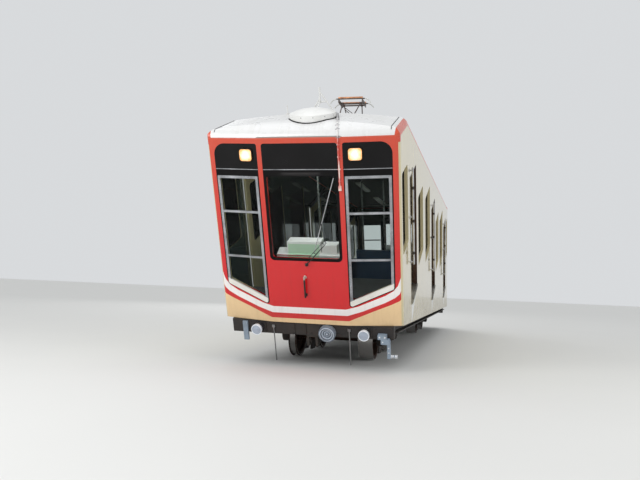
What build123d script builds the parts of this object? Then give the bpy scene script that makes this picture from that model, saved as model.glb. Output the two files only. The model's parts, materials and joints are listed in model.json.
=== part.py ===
from build123d import *
import os
from math import atan2, cos, hypot, radians, sin, sqrt, tan

os.makedirs("parts", exist_ok=True)

# A funicular car that stands on its wheels. The body is a parallelogram in side view: its ends, doors
# and windows are upright on the hill, and its skirt, underframe and roof are parallel to the track.
# The body is drawn in a hill frame: x across the car, h level towards the lower end, g straight up,
# with g = 0 at the bottom of the upper end. hill() then lays it on the track.
# In the finished part Z = 0 is the lowest point of the wheels, Y runs down the track, X is across.
# All sizes are in millimetres.

# Driving dimensions of the body
SLOPE = 23.0
WIDTH = 2500.0
FACE_HEIGHT = 2513.0
HOOD_LENGTH = 790.0
FACE_HALF = 526.0
SWEEP = 85.0
RETURN = 75.0
WALL = 70.0
SKIRT_CLEAR = 610.0

# Roof section, above the eaves
SHOULDER = 112.0
CROWN = 75.0
ROOF_SKIN = 50.0

# Rounding of the ends: upright corners, and the ellipse over which an end runs into the roof
CORNER = 60.0
HOOD_EDGE = 400.0
HOOD_RISE = 190.0

# Bays along the side: level length of one bay, how many doors, and what follows the last door
BAY = 3500.0
DOOR_COUNT = 3
REAR_SECTION = 800.0

# Doors
DOOR_START = 1035.0
DOOR_WIDTH = 780.0
DOOR_HEIGHT = 1900.0
DOOR_SILL = -120.0
LEAF_THICK = 35.0
LEAF_GAP = 10.0
LEAF_LAP = 15.0
DOOR_TRAVEL = 745.0
RUNNER_GAP = 0.3
RUNNER_DEPTH = 28.0
DOOR_GLASS_MARGIN = 140.0
DOOR_GLASS_HEIGHT = 900.0
DOOR_GLASS_CORNER = 60.0
DOOR_NOSE = 14.0
LINER = 8.0
LINER_PROUD = 3.0
TREAD_PLATE = 14.0
TREAD_PLATE_OUT = 22.0

# Glass
GLASS = 6.0
SIDE_GLASS_DEPTH = 56.0
WINDOW_CORNER = 60.0
RUBBER = 16.0

# Floor
FLOOR_THICK = 60.0
FLOOR_EDGE_GAP = 60.0
STRINGER = 40.0

# Track and running gear
GAUGE_CENTRES = 1130.0
WHEEL_RADIUS = 320.0
FLANGE_HEIGHT = 22.0
FLANGE_THICK = 22.0
TREAD_WIDTH = 80.0
DRUM_WIDTH = 220.0
AXLE_RADIUS = 65.0
JOURNAL_RADIUS = 50.0
RUNNING_FIT = 0.05
WHEELBASE = 1500.0
BOGIE_INSET = 2100.0
FRAME_INSIDE = 700.0
FRAME_THICK = 80.0

# Underframe
SILL_GAP = 5.0
SILL_WIDTH = 90.0
SILL_TOP = 118.0
SILL_DEPTH = 190.0
BEAM_DEPTH = 190.0
FEELER_LENGTH = 600.0
FEELER_IN = 13.0
FEELER_RADIUS = 8.0

# Pantograph
PANTO_PLACE = 2230.0
PANTO_ARM = 520.0
PANTO_RISE = 40.0
PANTO_PIVOT_HALF = 70.0
PANTO_WIDTH = 420.0
HEAD_HALF = 215.0
BASE_LIFT = 130.0

# Conduit from the mast to the right pillar
PIPE_RADIUS = 8.0
PIPE_CLEAR = 3.0
PIPE_BEND = 60.0
CLAMP_STEP = 150.0

# Overlap by which joined solids run into each other and cutters run past a face
LAP = 5.0

# Worked out from the above
THETA = radians(SLOPE)
HALF = WIDTH / 2
FALL = tan(THETA)
LENGTH = DOOR_START + (DOOR_COUNT - 1) * BAY + DOOR_WIDTH + REAR_SECTION
RIDGE = SWEEP + HOOD_LENGTH
REAR_CORNER = SWEEP + LENGTH
REAR_FACE = REAR_CORNER + SWEEP
RETURN_END = SWEEP + RETURN
REAR_TOP = FACE_HEIGHT - (REAR_FACE - RETURN_END - RIDGE) * FALL
REAR_BOTTOM = -LENGTH * FALL
WALL_INSIDE = HALF - WALL
SILL_X = WALL_INSIDE - SILL_GAP - SILL_WIDTH
FLOOR_HALF = HALF - WALL - FLOOR_EDGE_GAP
Z_SHIFT = FLANGE_HEIGHT + SKIRT_CLEAR - SWEEP * sin(THETA)
AXLE_Z = FLANGE_HEIGHT + WHEEL_RADIUS
PIPE_OUT = PIPE_CLEAR + 2 * PIPE_RADIUS
EDGE_BULGE = hypot(HOOD_EDGE * cos(THETA), HOOD_RISE * sin(THETA)) - HOOD_EDGE * cos(THETA)
Y_FRONT = -PIPE_OUT - EDGE_BULGE - FACE_HEIGHT * sin(THETA)
Y_REAR = (REAR_FACE - FEELER_IN) * cos(THETA) - (REAR_BOTTOM - FEELER_LENGTH) * sin(THETA) + FEELER_RADIUS
Y_SHIFT = -(Y_FRONT + Y_REAR) / 2
HILL = Location((0, Y_SHIFT, Z_SHIFT), (SLOPE, 0, 0))
Y_CORNER = SWEEP * cos(THETA) + Y_SHIFT
TRACK_LENGTH = LENGTH / cos(THETA)


def hill(shape):
    """Lay a shape that is drawn in the hill frame on the track."""
    return HILL * shape


def box(x0, x1, y0, y1, z0, z1):
    """Box between two corners."""
    return Pos((x0 + x1) / 2, (y0 + y1) / 2, (z0 + z1) / 2) * Box(x1 - x0, y1 - y0, z1 - z0)


def side_prism(points, x0, x1):
    """Solid with an outline of (y, z) points, from x0 to x1."""
    return extrude(Plane.YZ.offset(x0) * make_face(Polyline(*points, close=True)), x1 - x0)


def plan_prism(points, z0, z1):
    """Solid with an outline of (x, y) points, from z0 to z1."""
    return extrude(Plane.XY.offset(z0) * make_face(Polyline(*points, close=True)), z1 - z0)


def rod(start, end, radius):
    """Round bar between two points."""
    a = Vector(*start)
    b = Vector(*end)
    along = b - a
    base = Plane(origin=a, z_dir=along)
    return extrude(base * Circle(radius), along.length)


def x_disc(x0, x1, y, z, radius):
    """Disc or shaft across the car."""
    return rod((x0, y, z), (x1, y, z), radius)


def group(shapes):
    """One shape that holds several solids."""
    solids = [solid for shape in shapes for solid in shape.solids()]
    return Compound(solids)


def save(shape, name):
    """Write one named piece."""
    export_step(shape, f"parts/{name}.step")


def both_sides(shape):
    """A shape and its mirror image across the car."""
    return [shape, mirror(shape, about=Plane.YZ)]


def rounded(points):
    """Face with an outline of (x, z, corner radius) points."""
    corners = []
    for i, (x, z, radius) in enumerate(points):
        corner = Vector(x, z)
        last = (Vector(*points[i - 1][:2]) - corner).normalized()
        following = (Vector(*points[(i + 1) % len(points)][:2]) - corner).normalized()
        half = radians(last.get_angle(following) / 2)
        inward = (last + following).normalized()
        middle = corner + inward * (radius / sin(half) - radius)
        cut = radius / tan(half)
        corners.append((corner + last * cut, middle, corner + following * cut))
    edges = []
    for i, (start, middle, end) in enumerate(corners):
        edges.append(ThreePointArc(start, middle, end))
        edges.append(Line(end, corners[(i + 1) % len(corners)][0]))
    return make_face(edges)


def eave(h):
    """Height of the eaves at a place along the car."""
    sloping = min(max(h, RIDGE), REAR_FACE - RETURN_END)
    return FACE_HEIGHT - (sloping - RIDGE) * FALL


def skirt(h):
    """Height of the bottom of the side at a place along the car."""
    return -(h - SWEEP) * FALL


# The ends: three flat panels, the outer two swept back, drawn from the top down with g = 0 at the eaves

BEND = atan2(SWEEP, HALF - FACE_HALF)


def end_line(depth):
    """Plan points (x, h) of the end panels, a given depth inside their outer face."""
    kink = FACE_HALF - depth * tan(BEND / 2)
    side = HALF - depth
    corner = depth * cos(BEND) + (side - FACE_HALF + depth * sin(BEND)) * tan(BEND)
    return [(-side, corner), (-kink, depth), (kink, depth), (side, corner)]


def end_layer(outer, inner, top, bottom, back=RETURN_END):
    """Solid between two depths in the end panels, with its side returns."""
    first = end_line(outer)
    last = end_line(inner)
    points = [(first[0][0], back), *first, (first[3][0], back)]
    points += [(last[3][0], back), *reversed(last), (last[0][0], back)]
    return plan_prism(points, bottom, top)


def end_block(depth, top, bottom, back):
    """Solid that fills the plan of an end from a given depth to a place behind it."""
    line = end_line(depth)
    points = [(line[0][0], back), *line, (line[3][0], back)]
    return plan_prism(points, bottom, top)


def rounded_end(depth, top, bottom, back):
    """The same block with its two upright outer corners rounded."""
    corners = end_block(depth, top, bottom, back).edges().filter_by(Axis.Z).group_by(Axis.Y)[1]
    return fillet(corners, CORNER - depth)


# Openings in an end, one side of the car; heights are measured from the eaves
HEADER_TOP = -54.0
SEAM = -386.0
FRAME_TOP = -474.0
CENTRE_BOTTOM = -1612.0
CENTRE_RUBBER = 38.0
LIGHT_LOW = -2266.0
LIGHT_HIGH = -1996.0
CENTRE_EDGE = FACE_HALF - 35
LIGHT_START = FACE_HALF + 27
LIGHT_END = HALF - 92
LIGHT_LIFT = (LIGHT_HIGH - LIGHT_LOW) / (LIGHT_END - LIGHT_START)
FRAME_WIDTH = 34.0
SILL_MEMBER = 70.0
REBATE = 14.0
REBATE_LAP = 10.0
RUBBER_DEPTH = 2.0
GLASS_LAP = 8.0
FRAME_PROUD = 6.0
BAR_LEVELS = (-957.0, -1583.0)
BAR_HALF = 15.0
LAMP_WIDTH = 172.0
LAMP_HEIGHT = 156.0
LAMP_CORNER = 38.0
LAMP_X = 708.0
LAMP_G = -200.0
LAMP_PROUD = 16.0
THROUGH = (-60.0, 220.0)
FACE_LOW = -2400.0


def end_prism(face):
    """Prism of an outline that goes right through an end."""
    return extrude(Plane.XZ.offset(-THROUGH[0]) * face, THROUGH[0] - THROUGH[1])


def centre_outline(margin, top, bottom, radii):
    """Outline of the middle unit, moved in by a margin, with its corner radii at the top and bottom."""
    edge = CENTRE_EDGE - margin
    high, low = radii
    return rounded([(-edge, top, high), (edge, top, high), (edge, bottom, low), (-edge, bottom, low)])


def light_foot(x, margin):
    """Height of the slanting bottom of an outer window, a margin above its lowest line."""
    return LIGHT_LOW + (x - LIGHT_START) * LIGHT_LIFT + margin * hypot(1, LIGHT_LIFT)


def light_outline(margin, foot, top, radii):
    """Outline of the right outer unit, moved in at the sides and foot; radii go round from the inner top."""
    near = LIGHT_START + margin
    far = LIGHT_END - margin
    heights = (top, top, light_foot(far, foot), light_foot(near, foot))
    return rounded([(x, z, r) for x, z, r in zip((near, far, far, near), heights, radii)])


RUBBER_FOOT = RUBBER + SILL_MEMBER
centre_unit = end_prism(centre_outline(0, HEADER_TOP, CENTRE_BOTTOM, (35, 65)))
centre_pane = end_prism(centre_outline(CENTRE_RUBBER, FRAME_TOP, CENTRE_BOTTOM + CENTRE_RUBBER, (30, 40)))
light_unit = end_prism(light_outline(0, 0, HEADER_TOP, (30, 150, 60, 40)))
light_frame = end_prism(light_outline(RUBBER, RUBBER, FRAME_TOP, (10, 10, 35, 25)))


def grown_panes(lap):
    """The panes' three outlines, grown by a lap."""
    foot = CENTRE_BOTTOM + CENTRE_RUBBER - lap
    middle = centre_outline(CENTRE_RUBBER - lap, FRAME_TOP + lap, foot, (30 + lap, 40 + lap))
    margin = RUBBER + FRAME_WIDTH - lap
    radii = (14 + lap, 14 + lap, 22 + lap, 18 + lap)
    outer = light_outline(margin, RUBBER_FOOT - lap, FRAME_TOP - FRAME_WIDTH + lap, radii)
    return [end_prism(middle), *both_sides(end_prism(outer))]


def band(low, high):
    """Everything between two heights of an end."""
    return box(-HALF - 50, HALF + 50, *THROUGH, low, high)


light_pane = grown_panes(0)[1]
lamp_face = Pos(LAMP_X, LAMP_G) * RectangleRounded(LAMP_WIDTH, LAMP_HEIGHT, LAMP_CORNER)
lamp_prism = end_prism(lamp_face)


def end_shell(height, lean):
    """Moulded end with its window openings; lean is the rise of the skirt towards the middle."""
    low = -height
    shell = end_layer(0, WALL, 0, low - RETURN * FALL)
    rise = lean * RETURN * FALL
    keep = [(THROUGH[0], 0), (THROUGH[0], low), (SWEEP, low), (RETURN_END, low + rise), (RETURN_END, 0)]
    shell = shell & side_prism(keep, -HALF, HALF) & rounded_end(0, 5, low - 200, RETURN_END + 5)
    shell -= box(-WALL_INSIDE, WALL_INSIDE, *THROUGH, low - 200, low)
    for hole in grown_panes(REBATE_LAP):
        shell -= hole
    rebate = end_layer(0, REBATE, 0, low)
    for unit in (centre_unit, *both_sides(light_unit)):
        shell -= rebate & unit
    return shell


def end_glass():
    """Panes of an end, which lie against the frames from behind."""
    layer = end_layer(REBATE, REBATE + GLASS, 0, FACE_LOW)
    return [layer & pane for pane in grown_panes(GLASS_LAP)]


def end_rubbers():
    """Black surrounds of the windows, up to the seam."""
    layer = end_layer(RUBBER_DEPTH, REBATE, 0, FACE_LOW) & band(FACE_LOW, SEAM)
    return [layer & (centre_unit - centre_pane), *both_sides(layer & (light_unit - light_frame))]


def end_frames():
    """Silver frames of the outer windows with their two bars, and the sills under them."""
    near = LIGHT_START + RUBBER
    far = LIGHT_END - RUBBER
    slant = [(x, light_foot(x, RUBBER_FOOT)) for x in (LIGHT_START, LIGHT_END)]
    below = end_prism(make_face(Polyline(*slant, (LIGHT_END, FACE_LOW), (LIGHT_START, FACE_LOW), close=True)))
    ring = end_layer(-FRAME_PROUD, REBATE, 0, FACE_LOW, back=SWEEP + 60) & (light_frame - light_pane)
    frame = ring - below
    bar_layer = end_layer(-FRAME_PROUD / 2, REBATE - 1, 0, FACE_LOW)
    for level in BAR_LEVELS:
        reach = (near + FRAME_WIDTH - LAP, far - FRAME_WIDTH + LAP)
        frame += bar_layer & box(*reach, *THROUGH, level - BAR_HALF, level + BAR_HALF)
    sill_layer = end_layer(-2 * FRAME_PROUD, REBATE, 0, FACE_LOW, back=SWEEP + 60)
    sill = sill_layer & (light_frame - light_pane) & below
    return both_sides(frame), both_sides(sill)


def end_headers():
    """Dark panels above the windows, with holes for the headlights."""
    layer = end_layer(0, REBATE, 0, FACE_LOW) & band(SEAM, 0)
    outer = (layer & light_unit) - lamp_prism
    return [layer & centre_unit, *both_sides(outer)]


def end_headlights():
    """Square headlights that stand a little out of the dark panels."""
    return both_sides(end_layer(-LAMP_PROUD, REBATE, 0, -600) & lamp_prism)


def at_front(shape):
    """Place a piece of an end at the upper end."""
    return hill(Pos(0, 0, FACE_HEIGHT) * shape)


def at_rear(shape):
    """Place a piece of an end at the lower end."""
    return hill(Pos(0, REAR_FACE, REAR_TOP) * mirror(shape, about=Plane.XZ))


# Roof: one section, carried level over the hood, down the slope, and level over the lower end


def roof_section(skin):
    """Face of the roof section, (x, g) above the eaves, moved in by the thickness of the skin."""
    side = HALF - skin
    shoulder_x = HALF - SHOULDER
    top_edge = SHOULDER - skin
    crown = SHOULDER + CROWN - skin
    bend = sqrt(0.5)
    low = -10.0 if skin else 0.0
    base = Line((-side, low), (side, low))
    right = Line((side, low), (side, 0)) if skin else None
    left = Line((-side, 0), (-side, low)) if skin else None
    inner = side - shoulder_x
    arc_r = ThreePointArc(
        (side, 0), (shoulder_x + inner * bend, top_edge * bend), (shoulder_x, top_edge)
    )
    top = ThreePointArc((shoulder_x, top_edge), (0, crown), (-shoulder_x, top_edge))
    arc_l = ThreePointArc(
        (-shoulder_x, top_edge), (-shoulder_x - inner * bend, top_edge * bend), (-side, 0)
    )
    edges = [edge for edge in (base, right, arc_r, top, arc_l, left) if edge is not None]
    return make_face(edges)


def roof_run(skin, start, end, level, falls):
    """The section carried from one place along the car to another."""
    face = Plane.XZ.offset(-start) * (Pos(0, level) * roof_section(skin))
    if not falls:
        return extrude(face, start - end)
    way = Vector(0, cos(THETA), -sin(THETA))
    return extrude(face, (end - start) / cos(THETA), dir=way)


def edge_prism(profile, x, turn):
    """Long prism of an (inward, up) profile, along an end panel that starts at x and is turned in plan."""
    inward = (-sin(turn), cos(turn), 0)
    along = (cos(turn), sin(turn), 0)
    return extrude(Plane(origin=(x, 0, 0), x_dir=inward, z_dir=along) * profile, WIDTH, both=True)


def hood_mould(skin, back):
    """Block with the plan of an end and elliptical upper edges, to round off the end of the roof."""
    low = -30.0
    high = HOOD_RISE - skin
    profile = make_face([
        Line((back, low), (skin, low)),
        Line((skin, low), (skin, 0)),
        EllipticalCenterArc((HOOD_EDGE, 0), HOOD_EDGE - skin, high, 180, arc_size=-90),
        Line((HOOD_EDGE, high), (back, high)),
        Line((back, high), (back, low)),
    ])
    outer = edge_prism(profile, FACE_HALF, BEND)
    end = rounded_end(skin, HOOD_RISE + 10, -20, back - 5)
    return end & edge_prism(profile, 0, 0) & outer & mirror(outer, about=Plane.YZ)


def roof_solid(skin):
    """Outer or inner volume of the roof."""
    rear_start = REAR_FACE - RETURN_END
    front = roof_run(skin, -50, RIDGE, FACE_HEIGHT, False)
    main = roof_run(skin, RIDGE, rear_start, FACE_HEIGHT, True)
    rear = roof_run(skin, rear_start, REAR_FACE + 50, REAR_TOP, False)
    mould = hood_mould(skin, RIDGE + 400)
    front = front & (Pos(0, 0, FACE_HEIGHT) * mould)
    rear = rear & (Pos(0, REAR_FACE, REAR_TOP) * mirror(mould, about=Plane.XZ))
    return front + main + rear


outer_roof = roof_solid(0)
inner_roof = roof_solid(ROOF_SKIN)
save(hill(outer_roof - inner_roof), "roof")

save(at_front(end_shell(FACE_HEIGHT, -1)), "front_end_shell")
save(at_rear(end_shell(REAR_TOP - REAR_BOTTOM, 1)), "rear_end_shell")


def save_ends(pieces, name, more=()):
    """Write a node with the same pieces at both ends."""
    save(group([at_front(p) for p in pieces] + [at_rear(p) for p in pieces] + list(more)), name)


frames, sills = end_frames()
save_ends(end_glass(), "end_glass")
save_ends(frames, "end_window_frames")
save_ends(sills, "end_window_sills")
save_ends(end_headers(), "header_panels")
save_ends(end_headlights(), "headlights")


# Side walls with their door and window openings

# sill heights are above a line that falls with the track from the middle of the upper end
# window of the wall before the first door: start, width, sill height, height
FRONT_WINDOW = (200.0, 590.0, 1025.0, 1080.0)
# windows between doors: start and width as shares of that wall, sill height, height
BAY_WINDOWS = ((0.1, 0.285, 965.0, 1120.0), (0.53, 0.342, 1064.0, 1170.0))
# window behind the last door: distance from it, width, sill height, height
REAR_WINDOW = (235.0, 440.0, 1441.0, 1010.0)


def window_places():
    """Start, width, sill and height of every side window, in the hill frame."""
    places = [FRONT_WINDOW]
    for bay in range(DOOR_COUNT - 1):
        door_end = DOOR_START + bay * BAY + DOOR_WIDTH
        for start, width, sill, height in BAY_WINDOWS:
            wall_length = BAY - DOOR_WIDTH
            places.append((door_end + start * wall_length, width * wall_length, sill, height))
    after, width, sill, height = REAR_WINDOW
    places.append((DOOR_START + (DOOR_COUNT - 1) * BAY + DOOR_WIDTH + after, width, sill, height))
    return [(h, width, sill - h * FALL, height) for h, width, sill, height in places]


def rounded_block(x0, x1, h0, h1, g0, g1, radius):
    """Box across the wall whose corners in side view are rounded."""
    return fillet(box(x0, x1, h0, h1, g0, g1).edges().filter_by(Axis.X), radius)


def window_blocks(outside, inside, margin=0.0):
    """Blocks that fill the side window openings of the right side, moved in by a margin."""
    blocks = []
    for h, width, g, height in window_places():
        sides = (h + margin, h + width - margin, g + margin, g + height - margin)
        blocks.append(rounded_block(inside, outside, *sides, WINDOW_CORNER - margin))
    return blocks


def door_sill(bay):
    """Start and sill height of a door opening."""
    return DOOR_START + bay * BAY, DOOR_SILL - bay * BAY * FALL


def door_block(bay, outside, inside, lap=0.0):
    """Box that fills a door opening of the right side, grown by a lap."""
    h, g = door_sill(bay)
    return box(inside, outside, h - lap, h + DOOR_WIDTH + lap, g - lap, g + DOOR_HEIGHT + lap)


rear_start = REAR_FACE - RETURN_END
wall_outline = [
    (RETURN_END, skirt(RETURN_END)),
    (RETURN_END, FACE_HEIGHT),
    (RIDGE, FACE_HEIGHT),
    (rear_start, REAR_TOP),
    (rear_start, skirt(rear_start)),
]
wall = side_prism(wall_outline, WALL_INSIDE, HALF)
for block in window_blocks(HALF + 5, WALL_INSIDE - 5):
    wall -= block
for bay in range(DOOR_COUNT):
    wall -= door_block(bay, HALF + 5, WALL_INSIDE - 5)
save(hill(wall), "right_wall")
save(hill(mirror(wall, about=Plane.YZ)), "left_wall")

pane_out = HALF - SIDE_GLASS_DEPTH
panes = []
side_rubbers = []
for whole, seat, hole in zip(
    window_blocks(pane_out, pane_out - GLASS),
    window_blocks(pane_out + RUBBER * 0.6, pane_out),
    window_blocks(pane_out + RUBBER, pane_out - RUBBER, RUBBER),
):
    panes += both_sides(whole)
    side_rubbers += both_sides(seat - hole)
save(group([hill(pane) for pane in panes]), "side_glass")
save_ends(end_rubbers(), "window_rubbers", [hill(rubber) for rubber in side_rubbers])

# Sliding doors behind the walls, with the runners that carry them over their travel downhill
leaf_out = WALL_INSIDE - LEAF_GAP
leaf_in = leaf_out - LEAF_THICK
leaf_middle = (leaf_in + leaf_out) / 2
runners = []
liners = []
treads = []
for bay in range(DOOR_COUNT):
    h, g = door_sill(bay)
    leaf = door_block(bay, leaf_out, leaf_in, LEAF_LAP)
    closing = leaf.edges().filter_by(Axis.Z).group_by(Axis.Y)[0]
    leaf = fillet(closing, DOOR_NOSE)
    pane_top = g + DOOR_HEIGHT - DOOR_GLASS_MARGIN
    pane_span = (h + DOOR_GLASS_MARGIN, h + DOOR_WIDTH - DOOR_GLASS_MARGIN)
    pane_sides = (*pane_span, pane_top - DOOR_GLASS_HEIGHT, pane_top)
    leaf -= rounded_block(leaf_in - LAP, leaf_out + LAP, *pane_sides, DOOR_GLASS_CORNER)
    pane_depth = (leaf_middle - GLASS / 2, leaf_middle + GLASS / 2)
    pane = rounded_block(*pane_depth, *pane_sides, DOOR_GLASS_CORNER)
    for side, turn in (("right", False), ("left", True)):
        name = f"{side}_door_{bay + 1}"
        save(hill(mirror(leaf, about=Plane.YZ) if turn else leaf), name)
        save(hill(mirror(pane, about=Plane.YZ) if turn else pane), name + "_glass")
    bounds = leaf.bounding_box()
    top = bounds.max.Z + RUNNER_GAP
    run = (bounds.min.Y, bounds.max.Y + DOOR_TRAVEL)
    runners += both_sides(box(leaf_in, WALL_INSIDE, *run, top, top + RUNNER_DEPTH))
    inner = (h + LINER, h + DOOR_WIDTH - LINER)
    liner = door_block(bay, HALF + LINER_PROUD, WALL_INSIDE)
    liner -= box(WALL_INSIDE - 5, HALF + 10, *inner, g - 5, g + DOOR_HEIGHT - LINER)
    liners += both_sides(liner)
    tread = box(WALL_INSIDE, HALF + TREAD_PLATE_OUT, *inner, g, g + TREAD_PLATE)
    tread -= box(HALF - 34, HALF - 16, *inner, g + TREAD_PLATE - 8, g + TREAD_PLATE + 5)
    treads += both_sides(tread)
save(group([hill(runner) for runner in runners]), "door_runners")
save(group([hill(liner) for liner in liners]), "door_frames")
save(group([hill(tread) for tread in treads]), "door_sills")


# Stepped floor: a landing at each door, then two seat landings, with short steps between

# landing: length, or share of what the others leave of a bay, and whether it carries benches
DOOR_LANDING = 1080.0
STEP = 280.0
SEAT_SHARES = (0.557, 0.443)
seat_room = BAY - DOOR_LANDING - 3 * STEP
LANDINGS = (
    (DOOR_LANDING, False),
    (STEP, False),
    (SEAT_SHARES[0] * seat_room, True),
    (STEP, False),
    (SEAT_SHARES[1] * seat_room, True),
    (STEP, False),
)
RISER = BAY * FALL / len(LANDINGS)
FLOOR_START = DOOR_START - 155.0
PLATFORM_START = WALL + 10.0
platform_end = REAR_FACE - WALL - 10.0
floor_runs = [(PLATFORM_START, FLOOR_START, DOOR_SILL + RISER, False)]
h = FLOOR_START
level = DOOR_SILL
for bay in range(DOOR_COUNT - 1):
    for length, benches in LANDINGS:
        floor_runs.append((h, h + length, level, benches))
        h += length
        level -= RISER
door_landings = [FLOOR_START + bay * BAY for bay in range(DOOR_COUNT)]
floor_runs.append((h, platform_end, level, False))

top_line = []
for start, end, level, benches in floor_runs:
    top_line += [(start, level), (end, level)]
under = []
for i, (start, end, level, benches) in enumerate(floor_runs):
    low = level - FLOOR_THICK
    left = start if i == 0 else start - FLOOR_THICK
    right = end if i == len(floor_runs) - 1 else end - FLOOR_THICK
    under += [(left, low), (right, low)]
floor = side_prism(top_line + list(reversed(under)), -FLOOR_HALF, FLOOR_HALF)
plan_inside = end_block(WALL + 10, 200, -4500, 5000)
plan_inside += Pos(0, REAR_FACE, 0) * mirror(plan_inside, about=Plane.XZ)
floor = floor & plan_inside
save(hill(floor), "stepped_floor")


def sill_line(h, n):
    """Height in the hill frame of a line parallel to the track, n above the origin."""
    return (n - h * sin(THETA)) / cos(THETA)


STRINGER_ENDS = 200.0
first = PLATFORM_START + STRINGER_ENDS
last = platform_end - STRINGER_ENDS
web_top = [(first, floor_runs[0][2] - FLOOR_THICK / 2)]
for i, (start, end, level, benches) in enumerate(floor_runs):
    middle = level - FLOOR_THICK / 2
    web_top += [(max(start - FLOOR_THICK / 2, first), middle), (min(end - FLOOR_THICK / 2, last), middle)]
web_top = web_top[1:]
web = web_top + [(last, sill_line(last, SILL_TOP)), (first, sill_line(first, SILL_TOP))]
stringer = side_prism(web, SILL_X + 5, SILL_X + 5 + STRINGER) - floor
save(group([hill(side) for side in both_sides(stringer)]), "floor_stringers")

# Benches across the car, with an aisle between them
AISLE_HALF = 210.0
BENCH_END = FLOOR_HALF - 20.0
BENCH_SEAT = 430.0
BENCH_BACK = 860.0
BENCH_DEPTH = 420.0
bench_list = []
for start, end, level, benches in floor_runs:
    if benches:
        back = start + 20
        outline = [
            (back, level),
            (back, level + BENCH_BACK),
            (back + 55, level + BENCH_BACK),
            (back + 100, level + BENCH_SEAT),
            (back + BENCH_DEPTH, level + BENCH_SEAT + 15),
            (back + BENCH_DEPTH, level + BENCH_SEAT - 55),
            (back + BENCH_DEPTH - 90, level),
        ]
        bench_list += both_sides(side_prism(outline, AISLE_HALF, BENCH_END))
save(group([hill(bench) for bench in bench_list]), "benches")

# Poles beside the aisle, from the floor to the roof
POLE_RADIUS = 16.0
POLE_X = AISLE_HALF + 16.0
poles = []
ceiling = roof_run(ROOF_SKIN, RIDGE - 600, rear_start, FACE_HEIGHT + 600 * FALL, True)
for start, end, level, benches in floor_runs:
    if start in door_landings and not end == platform_end:
        place = end - 260
        pole = rod((POLE_X, place, level), (POLE_X, place, eave(place) + 400), POLE_RADIUS)
        below = box(0, HALF, place - 50, place + 50, level, eave(place) + 20)
        poles += both_sides(pole & (ceiling + below))
save(group([hill(pole) for pole in poles]), "cabin_poles")

# Driver's desks at both ends
DESK_HALF = 430.0
DESK_DEPTH = 330.0
DESK_FOOT = 270.0
DESK_FRONT = 820.0
DESK_RIDGE = 870.0
DESK_EDGE = 760.0
# boxes on a desk: from x to x, depth, height above the floor
DESK_BOXES = ((-290.0, 170.0, 230.0, 990.0), (190.0, 390.0, 200.0, 950.0))


def desk(level, face_depth):
    """Driver's desk with a raised box and a smaller one beside it, drawn at the upper end."""
    outline = [
        (face_depth, level),
        (face_depth, level + DESK_FRONT),
        (face_depth + 150, level + DESK_RIDGE),
        (face_depth + DESK_DEPTH, level + DESK_FRONT - 10),
        (face_depth + DESK_DEPTH, level + DESK_EDGE),
        (face_depth + DESK_FOOT, level),
    ]
    whole = side_prism(outline, -DESK_HALF, DESK_HALF)
    for x0, x1, depth, height in DESK_BOXES:
        whole += box(x0, x1, face_depth + 40, face_depth + depth, level + 800, level + height)
    return whole


front_desk = desk(floor_runs[0][2], WALL + 30)
rear_desk = desk(floor_runs[-1][2], WALL + 30)
rear_desk = Pos(0, REAR_FACE, 0) * mirror(rear_desk, about=Plane.XZ)
save(group([hill(front_desk), hill(rear_desk)]), "driver_desks")

# Grab rails outside, uphill of each door
RAIL_LOW = 650.0
RAIL_HIGH = 2050.0
RAIL_OUT = 48.0
RAIL_RADIUS = 14.0
bars = []
brackets = []
for bay in range(DOOR_COUNT):
    h, sill = door_sill(bay)
    place = h - 60
    low = sill + RAIL_LOW
    top = min(sill + RAIL_HIGH, eave(place) - 120)
    bar = rod((HALF + RAIL_OUT, place, low), (HALF + RAIL_OUT, place, top), RAIL_RADIUS)
    bar = fillet(bar.edges(), RAIL_RADIUS * 0.6)
    bars += both_sides(bar)
    for g in (low + 40, (low + top) / 2, top - 40):
        bracket = rod((HALF, place, g), (HALF + RAIL_OUT, place, g), RAIL_RADIUS * 0.8)
        bracket += rod((HALF, place, g), (HALF + 8, place, g), RAIL_RADIUS * 1.8)
        brackets += both_sides(bracket - bar)
save(group([hill(bar) for bar in bars]), "door_grab_rails")
save(group([hill(bracket) for bracket in brackets]), "grab_rail_brackets")


# Roof fittings

CROWN_HALF = HALF - SHOULDER
CROWN_RADIUS = (CROWN_HALF ** 2 + CROWN ** 2) / (2 * CROWN)


def crown_height(x):
    """Height of the roof above the eaves at a distance from the middle."""
    return SHOULDER + CROWN - CROWN_RADIUS + sqrt(CROWN_RADIUS ** 2 - x ** 2)


def on_roof(x, h):
    """Point of the roof's top surface, behind the hood's rounded edge."""
    return (x, h, eave(h) + crown_height(x))


# Ventilator: a flat round dome on the hood
VENT_X = 80.0
VENT_PLACE = 480.0
VENT_RADIUS = 300.0
VENT_RIM = 62.0
VENT_RISE = 122.0
VENT_ROOT = 60.0
cap_height = VENT_RISE - VENT_RIM
cap_radius = (VENT_RADIUS ** 2 + cap_height ** 2) / (2 * cap_height)
roof_top = FACE_HEIGHT + SHOULDER + CROWN
drum = rod((0, 0, -VENT_ROOT), (0, 0, VENT_RISE + 10), VENT_RADIUS)
dome = Pos(VENT_X, VENT_PLACE, roof_top) * (drum & (Pos(0, 0, VENT_RISE - cap_radius) * Sphere(cap_radius)))
save(hill(dome - outer_roof), "roof_ventilator")

# Mast: an upright on three legs with a brace, and a spike beside it
MAST_PLACE = 1230.0
MAST_TOP = FACE_HEIGHT + 490.0
MAST_BRACE = MAST_TOP - 200.0
MAST_RADIUS = 13.0
LEG_RADIUS = 9.0
FOOT_HALF = 30.0
FOOT_RISE = 26.0
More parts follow.
